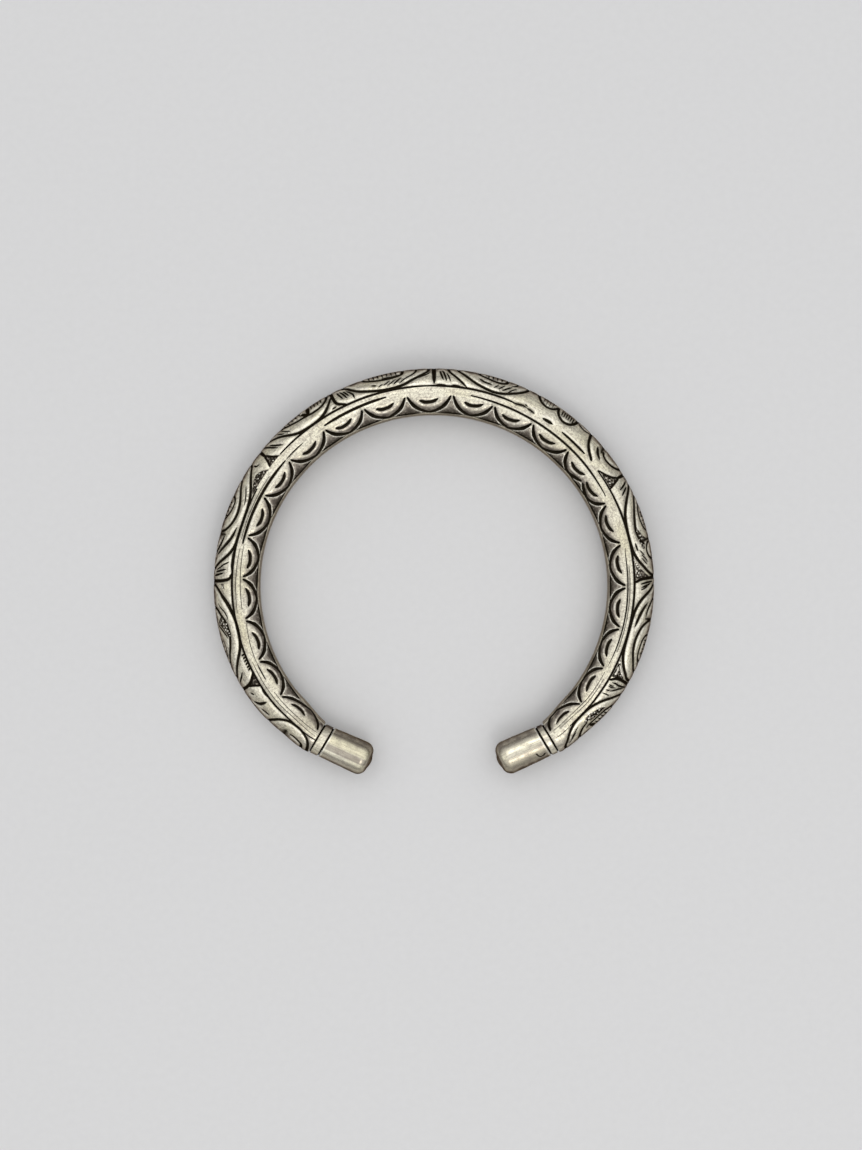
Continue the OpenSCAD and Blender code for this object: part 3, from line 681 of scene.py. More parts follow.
# A long cut is measured in stretches of this many points
STRETCH = 24
# How far beside a cut its edge is looked for, for the metal's marks and for the mesh's plain points
EDGE_REACH = 1.0
PLAIN_REACH = 0.5


def cut_fields(points, cuts, reach):
    """Each point's depth and darkness of cut, distance to the nearest edge up to reach, and roll."""
    order = np.argsort(points[:, 0])
    sorted_s = points[order, 0]
    depth = np.zeros(len(points))
    dark = np.zeros(len(points))
    edge = np.full(len(points), float(reach))
    roll = np.zeros(len(points))
    for cut in cuts:
        for k in range(0, len(cut.path) - 1, STRETCH):
            path = cut.path[k:k + STRETCH + 1]
            half = cut.half[k:k + STRETCH + 1]
            grow = half.max() + reach
            low = path.min(0) - grow
            high = path.max(0) + grow
            i, j = np.searchsorted(sorted_s, (low[0], high[0]))
            near = order[i:j]
            near = near[(points[near, 1] > low[1]) & (points[near, 1] < high[1])]
            if len(near) == 0:
                continue
            distance, u = segment_distance(points[near], path)
            width = half[:-1] + u * np.diff(half)
            inside = np.clip(1 - distance / width, 0, 1).max(1)
            depth[near] = np.maximum(depth[near], cut.depth * inside)
            dark[near] = np.maximum(dark[near], cut.dark * inside)
            gap = (distance - width).min(1)
            edge[near] = np.minimum(edge[near], gap)
            roll[near] = np.maximum(roll[near], ROLL * cut.depth * (1 - smooth(0, cut.roll_w, gap)))
    less = calm(points[:, 1])
    return depth * less, dark, edge, roll * less * (1 - smooth(*NO_ROLL, points[:, 1]))


def refine(outline, step):
    """A closed outline with points added so that none of its sides is longer than a step."""
    out = []
    for a, b in zip(outline, np.roll(outline, -1, axis=0)):
        count = max(1, int(math.ceil(np.linalg.norm(b - a) / step)))
        out.append(a + (b - a) * np.arange(count)[:, None] / count)
    return np.vstack(out)


# How far inside a patch's outline its floor starts, and the longest side of its outline
GROUND_FOOT = 0.07
OUTLINE_STEP = 0.25


class Ground:
    """A patch on the unrolled bar: how deep it is sunk, how dark it is, and its outline."""

    def __init__(self, sink, dark, outline):
        self.sink = sink
        self.dark = dark
        self.outline = refine(outline, OUTLINE_STEP)

    def rows(self):
        """The patch's outline and its foot, just inside, as polylines to build the mesh on."""
        closed = np.vstack([self.outline[-1:], self.outline, self.outline[:1]])
        ahead = unit(closed[2:] - closed[:-2])
        inward = np.stack([-ahead[:, 1], ahead[:, 0]], -1)
        x, y = self.outline.T
        area = (x * np.roll(y, -1) - np.roll(x, -1) * y).sum()
        foot = self.outline + inward * GROUND_FOOT * np.sign(area)
        return [np.vstack([line, line[:1]]) for line in (self.outline, foot)]

    def measure(self, points, grow):
        """Which points are near, whether each of those is inside, and how far it is from the outline."""
        near = (points > self.outline.min(0) - grow) & (points < self.outline.max(0) + grow)
        near = np.nonzero(near.all(1))[0]
        x, y = points[near, 0, None], points[near, 1, None]
        a = self.outline
        b = np.roll(a, -1, axis=0)
        rise = np.where(b[:, 1] == a[:, 1], 1e-9, b[:, 1] - a[:, 1])
        crosses = (a[:, 1] > y) != (b[:, 1] > y)
        crosses &= x < a[:, 0] + (y - a[:, 1]) * (b[:, 0] - a[:, 0]) / rise
        distance, _ = segment_distance(points[near], np.vstack([a, a[:1]]))
        return near, crosses.sum(1) % 2 == 1, distance.min(1)


# The lip that stays proud between a scallop's cut and the sunk corner beside it: its width, how far it
# rises, and how far beside a corner it is looked for
LIP = 0.12
LIP_RISE = 0.03
CORNER_REACH = 0.3
# Half the width of metal that stays under each point, and how dark a corner is
POINT_METAL = 0.12
CORNER_DARK = 0.30
# A corner's foot: how far it lies below the scallops' bottoms on the chart, how near to the cut there, how
# much darker it is than the corner, and over what width it gets so
CORNER_DROP = 3.8
CORNER_ROOM = 0.15
CORNER_FOOT = 1.6
CORNER_FOOT_W = 1.1


def corner_grounds(arcs):
    """The three-sided patches between neighbouring scallops and the wall."""
    grounds = []
    for left, right, (angle, _, _) in zip(arcs, arcs[1:], SCALLOPS[1:-1]):
        base = chart([(angle, scallop_bottom(angle) - CORNER_DROP)], CORNER_SINK)[0, 1]
        base = min(base, BASE_LIMIT - CORNER_ROOM + ROUND_ROOM * rounding(angle))
        middle = angle * ALONG
        sides = []
        for cut, towards in ((left, -1), (right, 1)):
            ahead = np.gradient(cut.path, axis=0)
            away = unit(np.stack([-ahead[:, 1], ahead[:, 0]], -1))
            line = cut.path + away * (cut.half + LIP)[:, None]
            beside = (line[:, 0] - middle) * towards > POINT_METAL
            inner_half = np.abs(line[:, 0] - middle) < BASE_HALF * ALONG
            sides.append(line[beside & inner_half & (line[:, 1] < base)])
        first, last = sides
        outline = np.vstack([[[first[0, 0], base]], first, last, [[last[-1, 0], base]]])
        grounds.append(Ground(CORNER_SINK, CORNER_DARK, outline))
    return grounds


# Even spacing of the mesh's points on plain metal, and the least room that they leave beside a cut's edge
MESH_STEP = 0.33
MESH_ROOM = 0.13
# Points of the mesh nearer to each other than this become one, and a dot has this many sides
MESH_MERGE = 0.004
DOT_SIDES = 8
# The mesh's even places along the bar
EVEN_S = np.linspace(-S_END, S_END, int(2 * S_END / MESH_STEP))


def sheet_lines(shapes):
    """The lines that the mesh follows: those of the shapes, round the dots, and the sheet's own edges."""
    lines = []
    for shape in shapes:
        lines += shape.rows()
    turn = np.linspace(0, 2 * math.pi, DOT_SIDES + 1)
    circle = np.stack([np.cos(turn), np.sin(turn)], -1)
    for angle, around, half in DOTS:
        lines += [chart([(angle, around)]) + circle * half * share for share in (DOT_TOP, DOT_FOOT)]
    t = np.linspace(0, T_END, int(T_END / MESH_STEP))
    for across in (0, T_END):
        lines.append(np.stack([EVEN_S, np.full_like(EVEN_S, across)], -1))
    for along in (-S_END, S_END):
        lines.append(np.stack([np.full_like(t, along), t], -1))
    for line in lines:
        line[:, 0] = np.clip(line[:, 0], -S_END, S_END)
    return lines


def plain_points(cuts, grounds):
    """Staggered rows of points on the plain metal, clear of the cuts and of the grounds' outlines."""
    rows = int(T_END / (MESH_STEP * math.sqrt(3) / 2))
    grid_s, grid_t = np.meshgrid(EVEN_S[1:-1], np.linspace(0, T_END, rows)[1:-1])
    grid_s[::2] += MESH_STEP / 4
    grid_s[1::2] -= MESH_STEP / 4
    grid = np.stack([grid_s.ravel(), grid_t.ravel()], -1)
    _, _, edge, _ = cut_fields(grid, cuts, PLAIN_REACH)
    keep = edge > MESH_ROOM
    for ground in grounds:
        near, _, distance = ground.measure(grid, MESH_ROOM)
        keep[near[distance < MESH_ROOM]] = False
    return grid[keep]


def bar_sheet(cuts, grounds, ridges):
    """The unrolled upper half of the bar, as points [along, across] and triangles that follow every cut."""
    points = []
    edges = []
    for line in sheet_lines(cuts + ridges + grounds):
        first = len(points)
        points += [Vector(p) for p in line.tolist()]
        edges += [(k, k + 1) for k in range(first, len(points) - 1)]
    points += [Vector(p) for p in plain_points(cuts, grounds).tolist()]
    flat, _, faces, _, _, _ = delaunay_2d_cdt(points, edges, [], 0, MESH_MERGE, False)
    return np.array([p[:] for p in flat]), np.array(faces)


# Painted shade darkens the metal on its outer and inner slopes, and grows between these distances across
SHADE_OUTSIDE = (1.5, 3.1)
SHADE_INSIDE = (7.4, 10.9)
# The painted shade is weaker on the widest line, lifts on the rounded edge above the wall to paint a
# highlight there, and is weaker on the wall, which is rubbed cleaner: by what share, and where
BELT_LESS_SHADE = 0.45
BELT_REACH = (0.2, 1.2)
EDGE_HIGHLIGHT = 0.75
EDGE_HIGHLIGHT_IN = (10.95, 11.1)
EDGE_HIGHLIGHT_OUT = (11.5, 11.7)
WALL_CLEAN = 0.5
WALL_REACH = (11.6, 12.4)
# How much painted shade darkens the outer side at the shoulders, and between which angles it grows
SHOULDER_SHADE = 0.42
SHOULDER_REACH = (135.5, 141.5)
# How much painted shade darkens a scallop's lowest metal and its corners, and a rim's side that faces down
DEEP_SHADE = 0.62
DOWN_SHADE = 0.4
# Slope at which a rim's side that faces up gets its full painted highlight, and half the step that it is
# measured over
HIGHLIGHT_SLOPE = 0.30
SLOPE_STEP = 0.05
# Past the land it is a rim's other side that faces up. The change starts and ends this far outside the land
SIDES_CHANGE = 0.6
# How strong the painted highlight is on rims past the land, how worn the lips are, and what share of the
# painted shade the wear and highlights take away
HIGHLIGHT_INSIDE = 0.6
WORN_LIP = 0.8
BRIGHT_LIFTS_SHADE = 0.85
# Rounding of the bar's edge at the shoulders
SHOULDER_ROUND = 0.14


def stained(points):
    """How olive and how brown the metal is at each point."""
    olive = np.zeros(len(points))
    brown = np.zeros(len(points))
    for angle, turn, half_length, half_width, more_olive, more_brown in STAINS:
        off = (points - chart([(angle, turn)])) / [half_length * ALONG, half_width]
        share = 1 - smooth(*STAIN_FALL, np.linalg.norm(off, axis=1))
        olive = np.maximum(olive, more_olive * share)
        brown = np.maximum(brown, more_brown * share)
    return olive, brown


def ground_relief(points, grounds):
    """At each point: how far a ground is sunk there, its darkness, whether it is a corner, and the lip."""
    drop = np.zeros(len(points))
    dark = np.zeros(len(points))
    corner = np.zeros(len(points))
    lip = np.zeros(len(points))
    for ground in grounds:
        near, inside, distance = ground.measure(points, 0)
        sunk = np.where(inside, smooth(0, 0.9 * GROUND_FOOT, distance), 0)
        drop[near] += ground.sink * sunk
        dark[near] = np.maximum(dark[near], ground.dark * sunk)
        if ground.sink == CORNER_SINK:
            near, inside, distance = ground.measure(points, CORNER_REACH)
            corner[near] = np.maximum(corner[near], inside)
            foot = ground.outline[:, 1].max()
            dark[near] *= 1 + CORNER_FOOT * smooth(foot - CORNER_FOOT_W, foot, points[near, 1])
            beside = np.where(inside, 0, 1 - smooth(LIP, 2 * LIP, distance))
            lip[near] = np.maximum(lip[near], beside * (points[near, 1] < foot))
    return drop, dark, corner, lip


def proud_metal(points, ridges):
    """Where dots and strokes stand proud: 1 on their tops and 0 from their feet on."""
    proud = np.zeros(len(points))
    for angle, turn, half in DOTS:
        distance = np.linalg.norm(points - chart([(angle, turn)]), axis=1)
        proud = np.maximum(proud, 1 - smooth(DOT_TOP * half, DOT_FOOT * half, distance))
    for ridge in ridges:
        distance, _ = segment_distance(points, ridge.path)
        proud = np.maximum(proud, 1 - smooth(*STROKE_FALL, (distance / ridge.half[:-1]).min(1)))
    return proud


def dome_share(points, arcs):
    """How far each point lies down its scallop's dome: 1 at the arc and 0 from DOME_W inside it on."""
    down = np.zeros(len(points))
    for arc in arcs:
        near, inside, _ = Ground(0, 0, arc.path).measure(points, 0)
        distance, _ = segment_distance(points[near], arc.path)
        down[near] = np.maximum(down[near], np.where(inside, 1 - smooth(0, DOME_W, distance.min(1)), 0))
    return down


def shaded_slopes(points):
    """How much painted shade darkens the metal, by its place on the section and along the bar."""
    angle, t = points[:, 0] / ALONG, points[:, 1]
    dull = np.maximum(1 - smooth(*SHADE_OUTSIDE, t), smooth(*SHADE_INSIDE, t))
    dull *= 1 - EDGE_HIGHLIGHT * smooth(*EDGE_HIGHLIGHT_IN, t) * (1 - smooth(*EDGE_HIGHLIGHT_OUT, t))
    dull *= 1 - BELT_LESS_SHADE * (1 - smooth(*BELT_REACH, t))
    dull *= 1 - WALL_CLEAN * smooth(*WALL_REACH, t)
    return np.maximum(dull, SHOULDER_SHADE * smooth(*SHOULDER_REACH, np.abs(angle)) * (t < T_LAND))


def upward(points, cuts):
    """How much the sides of rims face up at each point, from -1 to 1."""
    ahead, behind = (cut_fields(points + [0, step], cuts, EDGE_REACH)[3]
                     for step in (SLOPE_STEP, -SLOPE_STEP))
    outside = 1 - 2 * smooth(T_LAND - SIDES_CHANGE, T_INNER + SIDES_CHANGE, points[:, 1])
    return np.clip(outside * (ahead - behind) / (2 * SLOPE_STEP * HIGHLIGHT_SLOPE), -1, 1)


def relief(points, cuts, arcs, grounds, ridges):
    """Height of the worked surface at each point, and the marks that its finish needs."""
    depth, ink, edge, roll = cut_fields(points, cuts, EDGE_REACH)
    drop, ground_mark, corner, lip = ground_relief(points, grounds)
    proud = proud_metal(points, ridges)
    dome = dome_share(points, arcs)
    height = -depth - roll - drop + PROUD_RISE * proud - DOME * dome
    ink *= 1 - proud
    ground_mark *= 1 - proud
    height += LIP_RISE * lip * (ink == 0)
    height -= SHOULDER_ROUND * smooth(S_END - SHOULDER_ROUND, S_END, np.abs(points[:, 0])) ** 2

    olive, brown = stained(points)
    # Rims' sides that face up get a painted highlight and those that face down painted shade; lips and proud
    # dots are worn bright
    up = upward(points, cuts)
    wear_and_highlight = np.maximum(up, 0)
    wear_and_highlight = np.where(points[:, 1] > T_INNER, HIGHLIGHT_INSIDE * wear_and_highlight ** 2, wear_and_highlight)
    wear_and_highlight = np.maximum(wear_and_highlight, np.maximum(WORN_LIP * lip, proud))
    # Painted shade in the scallops near their arcs, in the corners, on the slopes and on rims that face down;
    # the brown stains are real
    unshaded = (1 - DEEP_SHADE * np.maximum(corner, dome)) * (1 - shaded_slopes(points))
    unshaded *= 1 - DOWN_SHADE * np.maximum(-up, 0)
    shade = (1 - unshaded * (1 - brown)) * (1 - BRIGHT_LIFTS_SHADE * wear_and_highlight)
    marks = {"ink": ink, "edge": edge, "ground": ground_mark, "shade": shade, "wear_and_highlight": wear_and_highlight, "olive": olive}
    return height, marks


# Slow unevenness of the hand-worked metal: height, and waves for one millimetre
WAVER = 0.02
WAVER_RATE = 0.28


def waver(places):
    """Slow unevenness at places in the frame, in millimetres."""
    return np.array([noise.noise(Vector(p) * WAVER_RATE) for p in (places / MM).tolist()]) * WAVER


# Right-hand shoulder: the compass angles of its face and its cap, and where its spigot starts
FACE_ANGLE = float(out_angle(np.array(BAR_END)))
CAP_ANGLE = FACE_ANGLE + CAP_TURN
SHOULDER = bar_point(np.array(BAR_END)) + out_of(FACE_ANGLE) * SPIGOT_SHIFT


def end_points(side, reach, out, up):
    """Places at an end: reach along the cap's axis from the shoulder, out from the hoop, and up."""
    flat = SHOULDER + along_of(CAP_ANGLE) * reach[..., None] + out_of(CAP_ANGLE) * out[..., None]
    return to_frame(flat * [side, 1], up)


def slanted(out):
    """How far along the cap's axis the shoulder's face lies, at a distance out from the axis."""
    return -out * math.tan(math.radians(CAP_TURN))


# Points of the sheet this near to its edge lie on it
NEAR = 1e-4


def shoulder_ring(side, flat, below):
    """The points round the bar's rim at one end, and the places of the spigot's points, out and up."""
    rim = np.nonzero(np.abs(flat[:, 0] - side * S_END) < NEAR)[0]
    rim = rim[np.argsort(flat[rim, 1])]
    ring = np.concatenate([rim, below[rim[-2:0:-1]]])
    spoke = unit(section(flat[rim, 1])[0]) * SPIGOT_D / 2
    out, up = np.vstack([spoke, spoke[-2:0:-1] * [1, -1]]).T
    return ring, out, up


def engraved_bar():
    """The bar's points and faces, its marks, and its places on the unrolled bar and its spigots."""
    arcs, others = scallop_cuts()
    cuts = leaf_cuts() + others + arcs
    grounds = [Ground(sink, dark, chart(corners)) for sink, dark, *corners in GROUNDS]
    grounds += corner_grounds(arcs)
    ridges = [Cut("ridge", places) for places in RIDGES]
    flat, faces = bar_sheet(cuts, grounds, ridges)
    height, marks = relief(flat, cuts, arcs, grounds, ridges)
    s, t = flat.T

    halves = []
    for half in (1, -1):
        even = bar_surface(s / ALONG, t, np.zeros_like(t), half)
        halves.append(bar_surface(s / ALONG, t, height + waver(even), half))
    count = len(flat)
    own = (t > NEAR) & (t < T_END - NEAR)
    below = np.where(own, count + np.cumsum(own) - 1, np.arange(count))
    points = [halves[0], halves[1][own]]
    places = [np.stack([s, t, 0 * s], -1), np.stack([s, -t, 0 * s], -1)[own]]
    polygons = np.vstack([faces, below[faces]]).tolist()
    total = count + own.sum()

    for side in (1, -1):
        ring, out, up = shoulder_ring(side, flat, below)
        points.append(end_points(side, slanted(out), out, up))
        points.append(end_points(side, np.full_like(out, SPIGOT_LEN), out, up))
        places.append(np.stack([side * (S_END + 1 + 0 * out), out, up], -1))
        places.append(np.stack([side * (S_END + SPIGOT_LEN + 0 * out), out, up], -1))
        root = total + np.arange(len(ring))
        tip = root + len(ring)
        total += 2 * len(ring)
        for a, b in ((ring, root), (root, tip)):
            polygons += np.stack([a, b, np.roll(b, -1), np.roll(a, -1)], -1).tolist()
        polygons.append(tip.tolist())
    extra = total - count - own.sum()
    for name, values in marks.items():
        marks[name] = np.concatenate([values, values[own], np.full(extra, float(name in ("ink", "edge")))])
    return np.vstack(points), polygons, marks, np.vstack(places)


# Number of stretches that the bar's map is folded into, the map's empty margin at both sides, and the
# millimetres between two folds
FOLDS = 3
MAP_MARGIN = 0.01
FOLD_GAP = 1


def fold_map(place):
    """Where the corners of one face of the bar lie on its map, all on the fold that its middle is on."""
    middle = place.mean(0)
    width = 2 * (S_END + SPIGOT_LEN) / FOLDS
    fold = min(FOLDS - 1, int((middle[0] + width * FOLDS / 2) / width))
    u = (place[:, 0] + width * FOLDS / 2 - fold * width) / width
    v = (fold + 0.5 + place[:, 1] / (2 * T_END + FOLD_GAP)) / FOLDS
    return np.stack([MAP_MARGIN + (1 - 2 * MAP_MARGIN) * u, v], -1)


def new_piece(name, points, polygons, marks, places, sharp_angle):
    """A mesh object with its marks and its own measure of place, smooth except at sharp edges."""
    mesh = bpy.data.meshes.new(name)
    mesh.from_pydata(points.tolist(), [], polygons)
    build = bmesh.new()
    build.from_mesh(mesh)
    bmesh.ops.recalc_face_normals(build, faces=build.faces)
    build.to_mesh(mesh)
    build.free()
    for mark, values in marks.items():
        mesh.attributes.new(mark, "FLOAT", "POINT").data.foreach_set("value", values.astype(np.float32))
    layer = mesh.attributes.new("place", "FLOAT_VECTOR", "POINT")
    layer.data.foreach_set("vector", places.astype(np.float32).ravel())
    mesh.shade_smooth()
    mesh.set_sharp_from_angle(angle=math.radians(sharp_angle))
    piece = bpy.data.objects.new(name, mesh)
    bpy.context.scene.collection.objects.link(piece)
    return piece


# Rings of a turned piece are this far apart, and have this many points
RING_STEP = 0.12
RING_POINTS = 144


def arc_rows(reach, radius, r, start, end, slant=0, steps=5):
    """Rows of a profile on an arc about (reach, radius), between two angles from straight outwards."""
    turn = np.radians(np.linspace(start, end, steps + 1))
    return [(reach + r * math.sin(a), radius + r * math.cos(a), slant) for a in turn]


def turned_piece(side, profile, closed, height):
    """A piece turned about the cap's axis. Each row of its profile is a reach, a radius and a share of the
    face's slant. A closed profile makes a ring, and an open one starts and ends on the axis."""
    profile = np.array(profile + profile[:1] * closed, float)
    rows = []
    for a, b in zip(profile, profile[1:]):
        count = max(1, int(math.ceil(np.linalg.norm(b[:2] - a[:2]) / RING_STEP)))
        rows.append(a + (b - a) * np.arange(count)[:, None] / count)
    rows = np.vstack(rows)
    if not closed:
        rows = rows[1:]
    turn = np.linspace(0, 2 * math.pi, RING_POINTS, endpoint=False)
    reach, radius, slant = (rows[:, k, None] + 0 * turn for k in range(3))
    turn = turn + 0 * reach
    radius = radius + height(reach, radius, turn)
    out = radius * np.cos(turn)
    up = radius * np.sin(turn)
    points = end_points(side, reach + slanted(out) * slant, out, up).reshape(-1, 3)
    places = np.stack([reach, out, up], -1).reshape(-1, 3)
    count = len(rows)
    ring = np.arange(count * RING_POINTS).reshape(count, RING_POINTS)
    ahead = np.roll(ring, -1, axis=0)
    quads = np.stack([ring, ahead, np.roll(ahead, -1, 1), np.roll(ring, -1, 1)], -1)
    if not closed:
        quads = quads[:-1]
    polygons = quads.reshape(-1, 4).tolist()
    if not closed:
        zero = np.zeros(1)
        for end, row in ((0, profile[0]), (-1, profile[-1])):
            tip = len(points)
            points = np.vstack([points, end_points(side, zero + row[0], zero, zero)])
            places = np.vstack([places, [[row[0], 0, 0]]])
            polygons += [(int(a), int(b), tip) for a, b in zip(ring[end], np.roll(ring[end], -1))]
    return points, polygons, places


# Painted shade and reflections of the ends, in bands round their axis, low where a highlight is painted:
# degrees over the top from the side that faces the hoop's middle, then how much painted shade
COLLAR_SHADE_BANDS = ((-40, 1), (25, 1), (50, 0.1), (140, 0.1), (165, 0.8), (220, 1))
CAP_REFLECTION_BANDS = {
    "right": ((-5, 0.6), (12, 0.82), (30, 0.82), (46, 0.72), (60, 0.4), (67, 0.05), (82, 0.05), (90, 0.4),
              (100, 0.55), (126, 0.6), (138, 0.74), (150, 0.88), (165, 0.85), (180, 0.6)),
    "left": ((-5, 0.6), (12, 0.85), (30, 0.86), (48, 0.76), (58, 0.22), (64, 0.05), (84, 0.05), (90, 0.7),
             (108, 0.74), (112, 0), (119, 0), (125, 0.5), (143, 0.58), (154, 0.84), (165, 0.82), (180, 0.6)),
}
# How olive they are: a tarnish tint laid along the painted bands
CAP_OLIVE = {
    "right": ((92, 0.1), (106, 0.8), (150, 0.9)),
    "left": ((50, 0.9), (84, 0.8), (90, 0.3), (108, 0.1)),
}
# A scratch on the right cap: millimetres from its mouth, and degrees from its outer side
HOOK = ((2, 62), (1.8, 51), (1.5, 44), (1, 43), (0.65, 50))
HOOK_HALF = 0.13
HOOK_DEPTH = 0.07


def banded(places, bands):
    """The value of an end's bands at its places."""
    turn = np.degrees(np.arctan2(places[:, 2], -places[:, 1]))
    turn = np.where(turn < -90, turn + 360, turn)
    return np.interp(turn, *zip(*bands))


# Inside radius of the collars and caps
BORE_R = SPIGOT_D / 2 + JOINT_GAP
# Rounding of a band's edges and of a cap's mouth
BAND_SOFT = 0.16
MOUTH_SOFT = 0.12
# Hand-made unevenness of the bands and the caps, and a cap's swelling behind its mouth
BAND_UNEVEN = 0.03
CAP_UNEVEN = 0.02
CAP_SWELL = 0.06


def collar(side, band):
    """A band between two grooves, bored for the spigot."""
    neck = COLLAR_D / 2 - GROOVE_DEPTH
    outer = COLLAR_D / 2
    start = JOINT_GAP
    end = 2 * GROOVE_W + band - JOINT_GAP
    profile = [(start, BORE_R, 1), (start, neck, 1), (GROOVE_W, neck, 1)]
    profile += arc_rows(GROOVE_W + BAND_SOFT, outer - BAND_SOFT, BAND_SOFT, -90, 0, 1)
    profile += arc_rows(GROOVE_W + band - BAND_SOFT, outer - BAND_SOFT, BAND_SOFT, 0, 90, 1)
    profile += [(GROOVE_W + band, neck, 1), (end, neck, 1), (end, BORE_R, 1)]
    share = math.cos(math.radians(CAP_TURN))
    profile = [(reach / share, radius, slant) for reach, radius, slant in profile]

    def height(reach, radius, turn):
        return np.where(radius > neck + 0.05, BAND_UNEVEN * np.sin(3 * turn + side) * np.sin(2 * turn), 0)

    points, polygons, places = turned_piece(side, profile, True, height)
    radius = np.hypot(places[:, 1], places[:, 2])
    ink = 1 - smooth(neck + 0.05, neck + 0.25, radius)
    # Painted shade on the band's flanks, in bands round its axis
    return points, polygons, {"ink": ink, "shade": banded(places, COLLAR_SHADE_BANDS)}, places


def end_cap(end, side, band, length):
    """A thimble: it widens a little to its tip, and its end is rounded and slightly domed."""
    mouth = (2 * GROOVE_W + band) / math.cos(math.radians(CAP_TURN))
    depth = SPIGOT_LEN + JOINT_GAP
    tip = mouth + length
    edge = tip - CAP_DOME - CAP_ROUND
    mouth_r = CAP_MOUTH_D / 2
    flat = CAP_TIP_D / 2 - CAP_ROUND
    profile = [(depth, 0, 0), (depth, BORE_R, 0), (mouth + 1, BORE_R, 1), (mouth, BORE_R, 1)]
    profile += arc_rows(mouth + MOUTH_SOFT, mouth_r - MOUTH_SOFT, MOUTH_SOFT, -90, 0, 1)
    profile += [(mouth + 1.5, mouth_r + CAP_SWELL, 0)]
    profile += arc_rows(edge, flat, CAP_ROUND, 0, 90, 0, 16)
    profile += [(tip - CAP_DOME * (1 - u) ** 2, flat * (1 - u), 0) for u in (0.25, 0.5, 0.75, 1)]

    hook = np.array([(mouth + reach, math.radians(turn) * mouth_r) for reach, turn in HOOK])

    def scratch(reach, turn):
        """How deep each place lies in the hooked scratch: 1 on its line and 0 from HOOK_HALF beside it on."""
        flat = np.stack([reach.ravel(), turn.ravel() * mouth_r], -1)
        near, _ = segment_distance(flat, hook)
        share = np.clip(1 - near.min(1) / HOOK_HALF, 0, 1).reshape(reach.shape)
        return share * (end == "right")

    def height(reach, radius, turn):
        outside = np.where((radius > BORE_R + 0.1) & (reach > mouth + 0.3), 1.0, 0.0)
        uneven = CAP_UNEVEN * np.sin(2 * turn + 1.3 * reach) * np.sin(0.9 * reach + side)
        return outside * (uneven - HOOK_DEPTH * scratch(reach, turn))

    points, polygons, places = turned_piece(side, profile, False, height)
    reach, out, up = places.T
    outer = np.hypot(out, up) > BORE_R + 0.1
    # Painted shade and painted reflection bands round the axis, and painted shade on the steep rounding of
    # the tip
    shade = np.maximum(banded(places, CAP_REFLECTION_BANDS[end]), 0.9 * smooth(edge + 0.9, edge + 1.6, reach))
    # Wear and a painted highlight along the mouth's rim, weaker where painted shade lies
    wear_and_highlight = (1 - smooth(mouth + 0.15, mouth + 0.35, reach)) * (1 - 0.6 * shade)
    ink = scratch(reach, np.arctan2(up, out)) * outer
    olive = banded(places, CAP_OLIVE[end])
    marks = {"ink": ink, "shade": shade * (1 - 0.7 * wear_and_highlight), "wear_and_highlight": wear_and_highlight, "olive": olive}
    return points, polygons, marks, places


